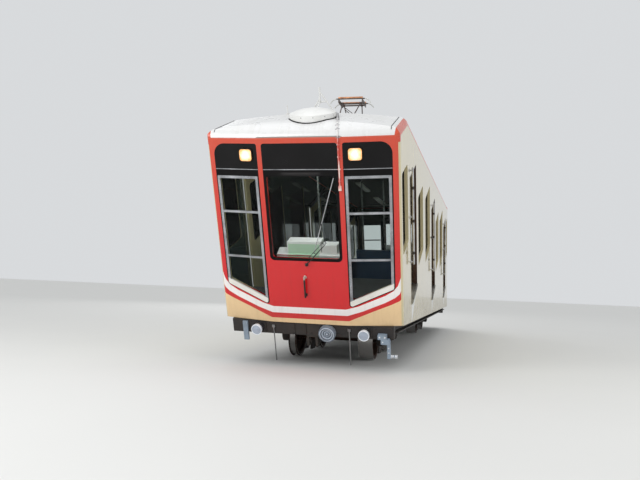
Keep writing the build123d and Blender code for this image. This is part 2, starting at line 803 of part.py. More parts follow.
# foot of each leg on the roof (x, h), and how far under the top the leg starts
MAST_LEGS = ((-200.0, MAST_PLACE, 145.0), (275.0, MAST_PLACE, 60.0), (0.0, MAST_PLACE - 280, 170.0))
mast = rod((0, MAST_PLACE, MAST_BRACE - 20), (0, MAST_PLACE, MAST_TOP), MAST_RADIUS)
for x, h, under_top in MAST_LEGS:
    foot = on_roof(x, h)
    mast += rod(foot, (0, MAST_PLACE, MAST_TOP - under_top), LEG_RADIUS)
    mast += box(x - FOOT_HALF, x + FOOT_HALF, h - FOOT_HALF, h + FOOT_HALF, foot[2] - 60, foot[2] + FOOT_RISE)
leg_x, leg_h, leg_start = MAST_LEGS[1]
leg_share = (MAST_TOP - leg_start - MAST_BRACE) / (MAST_TOP - leg_start - on_roof(leg_x, leg_h)[2])
mast += rod((0, MAST_PLACE, MAST_BRACE), (leg_x * leg_share, MAST_PLACE, MAST_BRACE), LEG_RADIUS)
SPIKE_X = -380.0
SPIKE_PLACE = 900.0
SPIKE_RISE = 130.0
SPIKE_RADIUS = 8.0
x, h, g = on_roof(SPIKE_X, SPIKE_PLACE)
spike = rod((x, h, g - 60), (x, h, g + SPIKE_RISE), SPIKE_RADIUS)
spike += rod((x, h, g - 60), (x, h, g + 22), SPIKE_RADIUS * 3)
save(group([hill(mast - outer_roof), hill(spike - outer_roof)]), "roof_mast")

# Cable from the mast over the roof and down the right pillar of the windscreen, held by clamps
CABLE_FOOT = -613.0
CABLE_X = 505.0
CABLE_WAY = ((441.0, 310.0), (366.0, 631.0), (306.0, RIDGE), (250.0, 1140.0))
HOOD_STEPS = (12.0, 25.0, 40.0, 55.0)
CLAMP = 34.0
FITTING_HALF = 18.0
FITTING = (-40.0, 20.0)
GLAND_HALF = 40.0


def cable_route():
    """Points (x, h, g) under the cable, from its lower fitting over the edge of the hood to the mast."""
    points = [(CABLE_X, 0.0, CABLE_FOOT), (CABLE_X, 0.0, 0.0)]
    drift = (CABLE_X - CABLE_WAY[0][0]) / CABLE_WAY[0][1]
    for step in HOOD_STEPS:
        inset = HOOD_EDGE * (1 - cos(radians(step)))
        points.append((CABLE_X - drift * inset, inset, HOOD_RISE * sin(radians(step))))
    points += [(x, h, crown_height(x) + eave(h) - FACE_HEIGHT) for x, h in CABLE_WAY]
    return points


def lifted(points, lift):
    """The same route, moved square away from the surface below it."""
    headings = [atan2(b[2] - a[2], b[1] - a[1]) for a, b in zip(points, points[1:])]
    before = [headings[0]] + headings
    after = headings + [headings[-1]]
    moved = []
    for (x, h, g), first, second in zip(points, before, after):
        middle = (first + second) / 2
        reach = lift / cos((first - second) / 2)
        moved.append((x, h - sin(middle) * reach, g + cos(middle) * reach))
    return moved


route = cable_route()
centre_line = lifted(route, PIPE_CLEAR + PIPE_RADIUS)
path = FilletPolyline(*centre_line, radius=PIPE_BEND)
cable = sweep(Plane(origin=path @ 0, z_dir=path % 0) * Circle(PIPE_RADIUS), path=path)
for start, end in zip(route, route[1:]):
    low = Vector(*start)
    way = Vector(*end) - low
    count = int(way.length // CLAMP_STEP)
    for i in range(count):
        spot = low + way * ((i + 0.5) / count)
        stand = Plane(origin=spot, x_dir=(1, 0, 0), z_dir=way)
        cable += stand * Pos(0, PIPE_OUT / 2 - 2) * Box(CLAMP, PIPE_OUT + 8, CLAMP / 2)
low, high = (CABLE_FOOT + reach for reach in FITTING)
cable += box(CABLE_X - FITTING_HALF, CABLE_X + FITTING_HALF, -PIPE_OUT - 2, 0, low, high)
gland_x, gland_h = CABLE_WAY[-1]
gland_g = route[-1][2]
gland_span = (gland_x - GLAND_HALF, gland_x + GLAND_HALF)
cable += box(*gland_span, gland_h - 30, gland_h + 50, gland_g - 60, gland_g + 40)
cable = Pos(0, 0, FACE_HEIGHT) * cable - outer_roof
cable -= box(-HALF, HALF, 0, SWEEP, 0, FACE_HEIGHT)
save(hill(cable), "mast_cable")


# Running gear, drawn on the track

LEFT_X = -GAUGE_CENTRES / 2
RIGHT_X = GAUGE_CENTRES / 2
HUB_RADIUS = 105.0
HUB_HALF = 70.0
RIM_INSIDE = 262.0
WEB_THICK = 34.0
EASE = 6.0


def wheel(x, width, flanged):
    """Wheel with hub, web and rim; the flanged one has a flange on both sides."""
    half = width / 2
    outer = half + (FLANGE_THICK if flanged else 0)
    profile = [
        (-HUB_HALF, 0),
        (HUB_HALF, 0),
        (HUB_HALF, HUB_RADIUS - 2 * EASE),
        (WEB_THICK / 2, HUB_RADIUS),
        (WEB_THICK / 2, RIM_INSIDE),
        (outer - EASE, RIM_INSIDE + EASE),
    ]
    if flanged:
        high = WHEEL_RADIUS + FLANGE_HEIGHT
        profile += [(outer, high - EASE), (outer - EASE, high), (half + EASE, high), (half, WHEEL_RADIUS)]
    else:
        profile += [(outer, RIM_INSIDE + 2 * EASE), (outer, WHEEL_RADIUS)]
    mirrored = [(-a, r) for a, r in reversed(profile[2:])]
    face = make_face(Polyline(*(profile + mirrored), close=True))
    return Pos(x, 0, 0) * revolve(face, Axis.X)


def wheelset(y):
    """Axle with a double-flanged wheel on the left and a plain drum wheel on the right."""
    journal_end = FRAME_INSIDE + FRAME_THICK - 20
    axle = x_disc(-FRAME_INSIDE + 15, FRAME_INSIDE - 15, 0, 0, AXLE_RADIUS)
    axle += x_disc(-journal_end, journal_end, 0, 0, JOURNAL_RADIUS)
    whole = axle + wheel(LEFT_X, TREAD_WIDTH, True) + wheel(RIGHT_X, DRUM_WIDTH, False)
    return Pos(0, y, AXLE_Z) * whole


BOLSTER_LOW = SILL_TOP + Z_SHIFT - SILL_DEPTH
PLATE_THICK = 20.0
PLATE_GAP = 0.3
BAR_TOP = BOLSTER_LOW - PLATE_THICK * 2 - PLATE_GAP
BAR_DEPTH = 105.0
BAR_REACH = WHEELBASE / 2 + 190.0
BAR_SLANT = (40.0, 30.0)
BOX_RADIUS = 118.0
BOX_HALF = 95.0
BOX_CAP = 12.0
BOX_END_WALL = 18.0
BOWL_RADIUS = 200.0
TRANSOM_HALF = 130.0
# rail brake: half sizes, height of its jaws above the floor, half width and height of the slot
JAW_HALF = (70.0, 115.0)
JAW_FOOT = 45.0
JAW_SLOT_HALF = 42.0
JAW_SLOT_TOP = 110.0


def bogie_frame(y):
    """H frame: side bars with axle boxes, a transom with the centre bowl, and the rail brakes."""
    low = BAR_TOP - BAR_DEPTH
    outside = FRAME_INSIDE + FRAME_THICK
    reach = WHEELBASE / 2
    outline = [
        (-BAR_REACH, BAR_TOP),
        (-BAR_REACH, low + BAR_SLANT[1]),
        (-BAR_REACH + BAR_SLANT[0], low),
        (BAR_REACH - BAR_SLANT[0], low),
        (BAR_REACH, low + BAR_SLANT[1]),
        (BAR_REACH, BAR_TOP),
    ]
    side = side_prism(outline, FRAME_INSIDE, outside)
    for place in (-reach, reach):
        side += box(FRAME_INSIDE, outside, place - BOX_HALF, place + BOX_HALF, AXLE_Z, low + LAP)
        side += x_disc(FRAME_INSIDE, outside + BOX_CAP, place, AXLE_Z, BOX_RADIUS)
        bore = JOURNAL_RADIUS + RUNNING_FIT
        side -= x_disc(FRAME_INSIDE - LAP, outside - BOX_END_WALL, place, AXLE_Z, bore)
    frame = side + mirror(side, about=Plane.YZ)
    reach_x = FRAME_INSIDE + LAP
    frame += box(-reach_x, reach_x, -TRANSOM_HALF, TRANSOM_HALF, low + LAP, BAR_TOP)
    frame += rod((0, 0, BAR_TOP - LAP), (0, 0, BAR_TOP + PLATE_THICK), BOWL_RADIUS)
    half_x, half_y = JAW_HALF
    for x in (LEFT_X, RIGHT_X):
        jaw = box(x - half_x, x + half_x, -half_y, half_y, JAW_FOOT, low + 2 * LAP)
        slot = (x - JAW_SLOT_HALF, x + JAW_SLOT_HALF, -half_y - LAP, half_y + LAP)
        frame += jaw - box(*slot, JAW_FOOT - LAP, JAW_SLOT_TOP)
    return Pos(0, y, 0) * frame


bogie_places = (Y_CORNER + BOGIE_INSET, Y_CORNER + TRACK_LENGTH - BOGIE_INSET)
number = 0
for name, place in zip(("front", "rear"), bogie_places):
    save(bogie_frame(place), f"{name}_bogie_frame")
    for reach in (-WHEELBASE / 2, WHEELBASE / 2):
        number += 1
        save(wheelset(place + reach), f"wheelset_{number}")


# Underframe, end beams and what hangs under the car

BEAM_FRONT = 25.0
BEAM_LAMP_OUT = 100.0
BEAM_BACK = SWEEP + WALL - LAP
SILL_OVERRUN = 200.0
SILL_WEB = 14.0
SILL_FLANGE = 16.0
CROSS_INSET = 220.0
CROSS_WIDTH = 60.0
CROSS_DEPTH = 110.0
GEAR_CROSS = 470.0
BOLSTER_HALF = 150.0
gear_middle = Y_CORNER + TRACK_LENGTH / 2
span = (Y_CORNER - SILL_OVERRUN, Y_CORNER + TRACK_LENGTH + SILL_OVERRUN)
sill_high = SILL_TOP + Z_SHIFT
sill_low = sill_high - SILL_DEPTH
middle_block = hill(box(-HALF, HALF, BEAM_BACK, REAR_FACE - BEAM_BACK, REAR_BOTTOM - 900, FACE_HEIGHT))
side_sill = box(SILL_X, SILL_X + SILL_WIDTH, *span, sill_low, sill_high)
hollow = (sill_low + SILL_FLANGE, sill_high - SILL_FLANGE)
side_sill -= box(SILL_X + SILL_WEB, SILL_X + SILL_WIDTH + LAP, *span, *hollow)
side_sill = (side_sill & middle_block) - hill(floor)
save(group(both_sides(side_sill)), "side_sills")
members = []
for place in bogie_places:
    bolster = box(-SILL_X, SILL_X, place - BOLSTER_HALF, place + BOLSTER_HALF, sill_low, sill_high)
    bolster += rod((0, place, sill_low + LAP), (0, place, sill_low - PLATE_THICK), BOWL_RADIUS - 25)
    members.append(bolster)
cross_places = (
    Y_CORNER + CROSS_INSET,
    gear_middle - GEAR_CROSS,
    gear_middle + GEAR_CROSS,
    Y_CORNER + TRACK_LENGTH - CROSS_INSET,
)
for place in cross_places:
    near = place - CROSS_WIDTH / 2
    members.append(box(-SILL_X, SILL_X, near, near + CROSS_WIDTH, sill_high - CROSS_DEPTH, sill_high))
save(group(members), "cross_members")

BEAM_INSET = 120.0
BEAM_HALF = HALF - BEAM_INSET
BEAM_RIBS = (-650.0, -240.0, -80.0, 830.0)
RIB_HALF = 8.0
RIB_OUT = 12.0
LAMP_SIDE = 745.0
LAMP_LEVEL = -90.0
LAMP_RADIUS = 66.0
LAMP_RIM = 76.0
LAMP_RIM_DEPTH = 25.0
BUFFER_X = 230.0
BUFFER_LEVEL = -130.0
# outline of a buffer's rings: radius, and how far they stand out of the beam
BUFFER_RINGS = (
    (0, 0), (0, 60), (30, 60), (30, 48), (62, 48),
    (62, 64), (88, 64), (88, 78), (116, 70), (116, 0),
)
FEELER_X = 530.0
FEELER_TOP = -60.0
FEELER_CLAMP = 20.0
# boxes of the grey brackets (x from, x to, how far out of the beam from and to, height from, height to)
LEFT_BRACKET = ((-975.0, -905.0, 30.0, 0.0, -300.0, -20.0),)
RIGHT_BRACKET = (
    (920.0, 1040.0, 60.0, 0.0, -165.0, -100.0),
    (960.0, 1075.0, 60.0, 10.0, -235.0, -160.0),
    (1040.0, 1085.0, 45.0, 20.0, -450.0, -170.0),
)
BOLT_SPAN = (1080.0, 1175.0)
BOLT_OUT = 32.0
BOLT_LEVEL = -415.0
BOLT_RADIUS = 15.0


def end_beam():
    """Dark beam under an end, drawn at the upper end with g = 0 at the bottom of the end shell."""
    beam = box(-BEAM_HALF, BEAM_HALF, BEAM_FRONT, BEAM_BACK, -BEAM_DEPTH, 0)
    for x in BEAM_RIBS:
        rib = (x - RIB_HALF, x + RIB_HALF, BEAM_FRONT - RIB_OUT, BEAM_FRONT + LAP)
        beam += box(*rib, -BEAM_DEPTH + 20, -25)
    return beam


def beam_lamps():
    """Round lamps on the beam, each with a rim."""
    centre = Pos(LAMP_SIDE, 0, LAMP_LEVEL)
    lamp = rod((0, BEAM_FRONT, 0), (0, LAMP_RIM_DEPTH - LAP - BEAM_LAMP_OUT, 0), LAMP_RADIUS)
    lamp += rod((0, LAMP_RIM_DEPTH - BEAM_LAMP_OUT, 0), (0, -BEAM_LAMP_OUT, 0), LAMP_RIM)
    return both_sides(centre * lamp)


def ringed_disc():
    """Ringed round buffer beside the middle of the beam."""
    turned = revolve(make_face(Polyline(*BUFFER_RINGS, close=True)), Axis.Y)
    return Pos(BUFFER_X, BEAM_FRONT, BUFFER_LEVEL) * mirror(turned, about=Plane.XZ)


def feeler_rods():
    """Thin rods that hang over the rails, each with a clamp on the beam."""
    thin = rod((FEELER_X, FEELER_IN, FEELER_TOP), (FEELER_X, FEELER_IN, -FEELER_LENGTH), FEELER_RADIUS)
    clamp = (FEELER_X - FEELER_CLAMP, FEELER_X + FEELER_CLAMP, BEAM_FRONT - 24, BEAM_FRONT)
    thin += box(*clamp, FEELER_TOP - 30, FEELER_TOP + 10)
    return both_sides(thin)


def hanging_brackets():
    """Grey brackets at the ends of the beam; the right one carries a long arm with a bolt."""
    brackets = []
    for boxes in (LEFT_BRACKET, RIGHT_BRACKET):
        parts = []
        for x0, x1, near, far, low, high in boxes:
            parts.append(box(x0, x1, BEAM_FRONT - near, BEAM_FRONT - far, low, high))
        brackets.append(sum(parts[1:], parts[0]))
    bolt_h = BEAM_FRONT - BOLT_OUT
    brackets[1] += rod((BOLT_SPAN[0], bolt_h, BOLT_LEVEL), (BOLT_SPAN[1], bolt_h, BOLT_LEVEL), BOLT_RADIUS)
    return brackets


def at_both_ends(pieces):
    """Pieces that hang under the upper end, and their copies under the lower end."""
    placed = [hill(piece) for piece in pieces]
    for piece in pieces:
        placed.append(hill(Pos(0, REAR_FACE, REAR_BOTTOM) * mirror(piece, about=Plane.XZ)))
    return placed


save(group(at_both_ends([end_beam()])), "end_beams")
save(group(at_both_ends(beam_lamps())), "beam_lamps")
save(group(at_both_ends([ringed_disc()])), "ringed_buffers")
save(group(at_both_ends(feeler_rods())), "rail_feelers")
save(group([hill(piece) for piece in hanging_brackets()]), "hanging_brackets")

# Rope anchor under the upper beam, with a hole across it for the pin of the rope's socket
ANCHOR_HOLE = 32.0
ANCHOR_HALF = 75.0
ANCHOR_IN = 70.0
ANCHOR_DROP = 115.0
EAR_THICK = 30.0
EAR_DROP = 170.0
anchor = box(-ANCHOR_HALF, ANCHOR_HALF, BEAM_FRONT + 10, BEAM_BACK - 10, -BEAM_DEPTH - EAR_THICK, -BEAM_DEPTH)
for x in (-ANCHOR_HALF, ANCHOR_HALF - EAR_THICK):
    ear_low = -BEAM_DEPTH - EAR_DROP
    anchor += box(x, x + EAR_THICK, BEAM_FRONT + 15, BEAM_BACK - 15, ear_low, -BEAM_DEPTH - EAR_THICK + LAP)
pin_place = (BEAM_FRONT + ANCHOR_IN, -BEAM_DEPTH - ANCHOR_DROP)
anchor -= x_disc(-ANCHOR_HALF - LAP, ANCHOR_HALF + LAP, *pin_place, ANCHOR_HOLE)
save(hill(anchor), "rope_anchor")

# Box of brake gear under the middle
BRAKE_BOX_HALF = (650.0, 560.0)
BRAKE_BOX_LOW = 290.0
half_x, half_y = BRAKE_BOX_HALF
brake_span = (gear_middle - half_y, gear_middle + half_y)
save(box(-half_x, half_x, *brake_span, BRAKE_BOX_LOW, sill_high - CROSS_DEPTH), "brake_gear_box")

# Wiper and handle on the upper end, drawn in the hill frame
WIPER_OUT = 16.0
WIPER_PIVOT = (5.0, 855.0)
WIPER_KNEE = (290.0, 1165.0)
WIPER_BLADE = ((121.0, 1030.0), (427.0, 2020.0))
# links from the arm to the blade
WIPER_LINKS = (((200.0, 1066.0), (170.0, 1190.0)), (WIPER_KNEE, (240.0, 1415.0)))
PIVOT_HEAD = 16.0
WIPER_BAR = 7.0
arm_out = -WIPER_OUT - 2 * WIPER_BAR


def face_rod(first, last, h0, h1, radius):
    """Bar between two (x, g) places in front of the end, each at its own distance."""
    return rod((first[0], h0, first[1]), (last[0], h1, last[1]), radius)


wiper = face_rod(WIPER_PIVOT, WIPER_PIVOT, 0, arm_out - WIPER_BAR, PIVOT_HEAD)
wiper += face_rod(WIPER_PIVOT, WIPER_KNEE, arm_out, arm_out, WIPER_BAR)
wiper += face_rod(*WIPER_BLADE, -WIPER_OUT, -WIPER_OUT, WIPER_BAR + 1)
for first, last in WIPER_LINKS:
    wiper += face_rod(first, last, arm_out, -WIPER_OUT, WIPER_BAR)
save(hill(wiper), "windscreen_wiper")

HANDLE_X = -30.0
HANDLE_OUT = 45.0
HANDLE_SPAN = (400.0, 700.0)
HANDLE_FEET = (425.0, 675.0)
HANDLE_RADIUS = 12.0
low, high = HANDLE_SPAN
handle = face_rod((HANDLE_X, low), (HANDLE_X, high), -HANDLE_OUT, -HANDLE_OUT, HANDLE_RADIUS)
for g in HANDLE_FEET:
    handle += face_rod((HANDLE_X, g), (HANDLE_X, g), 0, -HANDLE_OUT, HANDLE_RADIUS - 1)
save(hill(handle), "front_handle")


# Pantograph, drawn on the track: two lower arms, two upper arms, a head, all on a base frame

crown_z = (RIDGE * sin(THETA) + (FACE_HEIGHT + SHOULDER + CROWN) * cos(THETA)) + Z_SHIFT
panto_y = Y_CORNER - SWEEP * cos(THETA) + PANTO_PLACE
pivot_z = crown_z + BASE_LIFT
rise = radians(PANTO_RISE)
knee_y = PANTO_ARM * cos(rise)
knee_z = PANTO_ARM * sin(rise)
BASE_HALF_Y = 330.0
BASE_RAIL = 40.0
BASE_LOW = -60.0
BASE_TOP = -25.0
INSULATOR_RADIUS = 26.0
SHED_RADIUS = 40.0
SHED_THICK = 8.0
SHED_LEVELS = (-105.0, -85.0)
LUG_WIDTH = 30.0
LUG_HALF = 25.0
LUG_TOP = 22.0
PIVOT_RADIUS = 14.0
base_half_x = PANTO_WIDTH / 2 + BASE_RAIL

inside_x = base_half_x - BASE_RAIL
inside_y = BASE_HALF_Y - BASE_RAIL
base = box(-base_half_x, base_half_x, -BASE_HALF_Y, BASE_HALF_Y, BASE_LOW, BASE_TOP)
base -= box(-inside_x, inside_x, -inside_y, inside_y, BASE_LOW - LAP, BASE_TOP + LAP)
for x in (-base_half_x + BASE_RAIL / 2, base_half_x - BASE_RAIL / 2):
    for y in (-BASE_HALF_Y + BASE_RAIL / 2, BASE_HALF_Y - BASE_RAIL / 2):
        base += rod((x, y, -BASE_LIFT - 60), (x, y, BASE_TOP - LAP), INSULATOR_RADIUS)
        for z in SHED_LEVELS:
            base += rod((x, y, z), (x, y, z + SHED_THICK), SHED_RADIUS)
for y in (-PANTO_PIVOT_HALF, PANTO_PIVOT_HALF):
    for x in (-base_half_x + LAP, base_half_x - LUG_WIDTH - LAP):
        base += box(x, x + LUG_WIDTH, y - LUG_HALF, y + LUG_HALF, BASE_TOP - LAP, LUG_TOP)
        base -= x_disc(x - LAP, x + LUG_WIDTH + LAP, y, 0, PIVOT_RADIUS + RUNNING_FIT)
base = Pos(0, panto_y, pivot_z) * base - hill(outer_roof)
save(base, "pantograph_base")

TUBE = 13.0
BRACE = 7.0


def between(start, end, share):
    """Point a share of the way from one point to another."""
    return tuple(a + (b - a) * share for a, b in zip(start, end))


def lower_arm(way):
    """Lower arm frame, from its pivot shaft out to the knee; way is -1 uphill and 1 downhill."""
    y0 = way * PANTO_PIVOT_HALF
    y1 = y0 + way * knee_y
    half = PANTO_WIDTH / 2
    knee_half = half - 60
    arm = x_disc(-base_half_x + 2, base_half_x - 2, y0, 0, PIVOT_RADIUS)
    foot = half - 20
    for side in (-1, 1):
        arm += rod((side * foot, y0, 0), (side * knee_half, y1, knee_z), TUBE - 2)
    arm += rod(between((foot, y0, 0), (knee_half, y1, knee_z), 0.12),
               between((-foot, y0, 0), (-knee_half, y1, knee_z), 0.85), BRACE)
    arm += x_disc(-knee_half - 12, knee_half + 12, y1, knee_z, TUBE)
    return Pos(0, panto_y, pivot_z) * arm


HEAD_PIN = 12.0
EYE_RADIUS = 22.0
OPEN_PIN_GAP = 2.0


def upper_arm(way):
    """Upper arm frame, from the knee in to the head."""
    eye_bore = HEAD_PIN + (RUNNING_FIT if way < 0 else OPEN_PIN_GAP)
    y1 = way * (PANTO_PIVOT_HALF + knee_y)
    y0 = way * PANTO_PIVOT_HALF
    knee_half = PANTO_WIDTH / 2 - 60 - 30
    arm = x_disc(-knee_half - 12, knee_half + 12, y1, knee_z, TUBE + 9)
    arm -= x_disc(-knee_half - 14, knee_half + 14, y1, knee_z, TUBE + RUNNING_FIT)
    top_half = HEAD_HALF - 60
    for side in (-1, 1):
        foot = (side * (knee_half - 4), y1 - way * 18 * cos(rise), knee_z + 18 * sin(rise))
        tip = (side * top_half, y0 + way * 16 * cos(rise), 2 * knee_z - 16 * sin(rise))
        arm += rod(foot, tip, TUBE - 4)
        arm += x_disc(side * top_half - 14, side * top_half + 14, y0, 2 * knee_z, EYE_RADIUS)
        arm -= x_disc(side * top_half - 16, side * top_half + 16, y0, 2 * knee_z, eye_bore)
    right = ((knee_half - 4, y1, knee_z), (top_half, y0, 2 * knee_z))
    left = ((-knee_half + 4, y1, knee_z), (-top_half, y0, 2 * knee_z))
    arm += rod(between(*right, 0.15), between(*left, 0.85), BRACE - 1)
    return Pos(0, panto_y, pivot_z) * arm


STRIP_PLACE = 160.0
CARRIER_THICK = 12.0
STRIP_THICK = 24.0


def panto_head():
    """Head: two carriers with strips, horns that curve down, and the two pins for the upper arms."""
    z = 2 * knee_z
    head = x_disc(-HEAD_HALF, HEAD_HALF, -PANTO_PIVOT_HALF, z, HEAD_PIN)
    head += x_disc(-HEAD_HALF, HEAD_HALF, PANTO_PIVOT_HALF, z, HEAD_PIN)
    carrier = z + 50
    strip = carrier + CARRIER_THICK
    for side in (-1, 1):
        x = side * (HEAD_HALF - 12)
        head += box(x - 6, x + 6, -STRIP_PLACE - 20, STRIP_PLACE + 20, z - 10, carrier + 2)
    for y in (-STRIP_PLACE, STRIP_PLACE):
        head += box(-HEAD_HALF - 30, HEAD_HALF + 30, y - 18, y + 18, carrier, strip)
        head += box(-HEAD_HALF + 5, HEAD_HALF - 5, y - 15, y + 15, strip, strip + STRIP_THICK)
        for side in (-1, 1):
            edge = side * (HEAD_HALF + 30)
            arc = RadiusArc((edge, carrier + 6), (side * (HEAD_HALF + 130), z - 20), side * 130)
            path = Plane.XZ.offset(-y) * arc
            head += sweep(Plane(origin=path @ 0, z_dir=path % 0) * Circle(9), path=path)
    return Pos(0, panto_y, pivot_z) * head


save(lower_arm(-1), "pantograph_lower_arm_front")
save(lower_arm(1), "pantograph_lower_arm_rear")
save(upper_arm(-1), "pantograph_upper_arm_front")
save(upper_arm(1), "pantograph_upper_arm_rear")
save(panto_head(), "pantograph_head")
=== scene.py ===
import json
import math
from functools import partialmethod

import bmesh
import bpy
from mathutils import Matrix, Vector
from mathutils.bvhtree import BVHTree


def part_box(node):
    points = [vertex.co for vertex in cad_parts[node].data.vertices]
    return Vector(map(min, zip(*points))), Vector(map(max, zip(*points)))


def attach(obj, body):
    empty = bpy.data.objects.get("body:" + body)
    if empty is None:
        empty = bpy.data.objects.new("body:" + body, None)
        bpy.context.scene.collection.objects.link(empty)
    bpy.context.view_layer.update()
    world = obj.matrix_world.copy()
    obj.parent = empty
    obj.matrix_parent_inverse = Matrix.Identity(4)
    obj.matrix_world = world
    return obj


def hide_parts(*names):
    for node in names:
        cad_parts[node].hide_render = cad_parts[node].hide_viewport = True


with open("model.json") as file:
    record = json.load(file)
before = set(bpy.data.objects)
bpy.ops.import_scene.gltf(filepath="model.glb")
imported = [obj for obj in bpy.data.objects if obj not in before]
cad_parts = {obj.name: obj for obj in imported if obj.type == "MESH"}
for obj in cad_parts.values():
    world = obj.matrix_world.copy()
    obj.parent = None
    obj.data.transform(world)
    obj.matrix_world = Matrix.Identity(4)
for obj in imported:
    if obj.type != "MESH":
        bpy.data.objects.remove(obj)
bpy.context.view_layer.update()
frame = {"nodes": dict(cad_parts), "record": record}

# Sizes of the car, in metres. The body is drawn in a hill frame: x across, h level towards the lower end,
# g straight up, with g = 0 at the bottom of the upper end. HILL lays it on the track.
SLOPE = math.radians(23.0)
HALF = 1.25
WALL = 0.07
FACE_HEIGHT = 2.513
FACE_HALF = 0.526
SWEEP = 0.085
RETURN_END = 0.16
RIDGE = 0.875
REAR_FACE = 9.785
SHOULDER = 0.112
CROWN = 0.075
HOOD_EDGE = 0.4
HOOD_RISE = 0.19
BAY = 3.5
DOOR_COUNT = 3
DOOR_START = 1.035
DOOR_WIDTH = 0.78
DOOR_SILL = -0.12
WEDGE_DEPTH = 0.3
SKIRT_CLEAR = 0.61
FLANGE_HEIGHT = 0.022
AXLE_Z = 0.342
AXLE_BOX_FACE = 0.7915
TREAD_RADIUS = 0.3165
FLANGE_START = 0.33

# Places on the ends: x from the middle, heights from the eaves or, below, from the foot of the end
LAMP_X = 0.708
LAMP_G = -0.2
SEAM = -0.386
CENTRE_EDGE = 0.491
LIGHT_START = 0.553
LIGHT_END = 1.158
BEAM_FRONT = 0.025
BEAM_LAMP_X = 0.745
BEAM_LAMP_LEVEL = -0.09
BEAM_LAMP_OUT = 0.125
BEAM_LAMP_FACE = 0.046
BUFFER_X = 0.23
BUFFER_LEVEL = -0.13
BUFFER_RING = 0.029

# Places on the roof. The cable goes up the windscreen's pillar, over the hood's rounded edge by steps in
# degrees, and on to the mast by points (x, h).
JOINT_X = 1.142
JOINT_INSET = 0.11
VENT_X = 0.08
VENT_PLACE = 0.48
VENT_RADIUS = 0.3
VENT_SCREW_LEVEL = 0.038
CABLE_X = 0.505
CABLE_FOOT = -0.613
CABLE_WAY = ((0.441, 0.310), (0.366, 0.631), (0.306, RIDGE), (0.250, 1.140))
CABLE_STEPS = (12.0, 25.0, 40.0, 55.0)
CLAMP_SPACE = 0.06

# Collector: foot pivots above the roof, contact strips below the head's top, and start of the horns
PANTO_FOOT = 0.13
HEAD_STRIP = 0.024
HORN_START = 0.246

# Wiper, on the face of the upper end
WIPER_PIVOT = Vector((0.005, 0, 0.855))
WIPER_KNEE = Vector((0.290, 0, 1.165))
BLADE_HOLDER = Vector((0.240, 0, 1.415))
BLADE_LOW = Vector((0.121, 0, 1.030))
BLADE_HIGH = Vector((0.427, 0, 2.020))

# Worked out from the sizes
SWEEP_RATE = SWEEP / (HALF - FACE_HALF)
FALL = math.tan(SLOPE)
COS = math.cos(SLOPE)
SIN = math.sin(SLOPE)
REAR_START = REAR_FACE - RETURN_END
REAR_TOP = FACE_HEIGHT - (REAR_START - RIDGE) * FALL
REAR_BOTTOM = -(REAR_FACE - 2 * SWEEP) * FALL
ROOF_TOP = FACE_HEIGHT + SHOULDER + CROWN
Z_SHIFT = FLANGE_HEIGHT + SKIRT_CLEAR - SWEEP * SIN
PANTO_PIVOT_Z = RIDGE * SIN + ROOF_TOP * COS + Z_SHIFT + PANTO_FOOT

# The roof's foremost point lies on the ellipse of its rounded edge, which ties the hill frame to the part
EDGE_BULGE = math.hypot(HOOD_EDGE * COS, HOOD_RISE * SIN) - HOOD_EDGE * COS
Y_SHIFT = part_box("roof")[0].y + EDGE_BULGE + FACE_HEIGHT * SIN
HILL = Matrix.Translation((0, Y_SHIFT, Z_SHIFT)) @ Matrix.Rotation(SLOPE, 4, "X")
ROW = Matrix.Identity(4)
BODY = "car_body"
ENDS = (False, True)
SIDES = (-1, 1)
CORNERS = [(rear, side) for rear in ENDS for side in SIDES]
WHEELSETS = (1, 2, 3, 4)


def axle_y(number):
    """Place of an axle along the part, in the middle of its wheelset's box."""
    low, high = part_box(f"wheelset_{number}")
    return (low.y + high.y) / 2


# Meshes


def turns(count, start=0.0):
    """Cosine and sine of evenly spaced turns; start is a share of one step."""
    for i in range(count):
        angle = 2 * math.pi * (i + start) / count
        yield math.cos(angle), math.sin(angle)


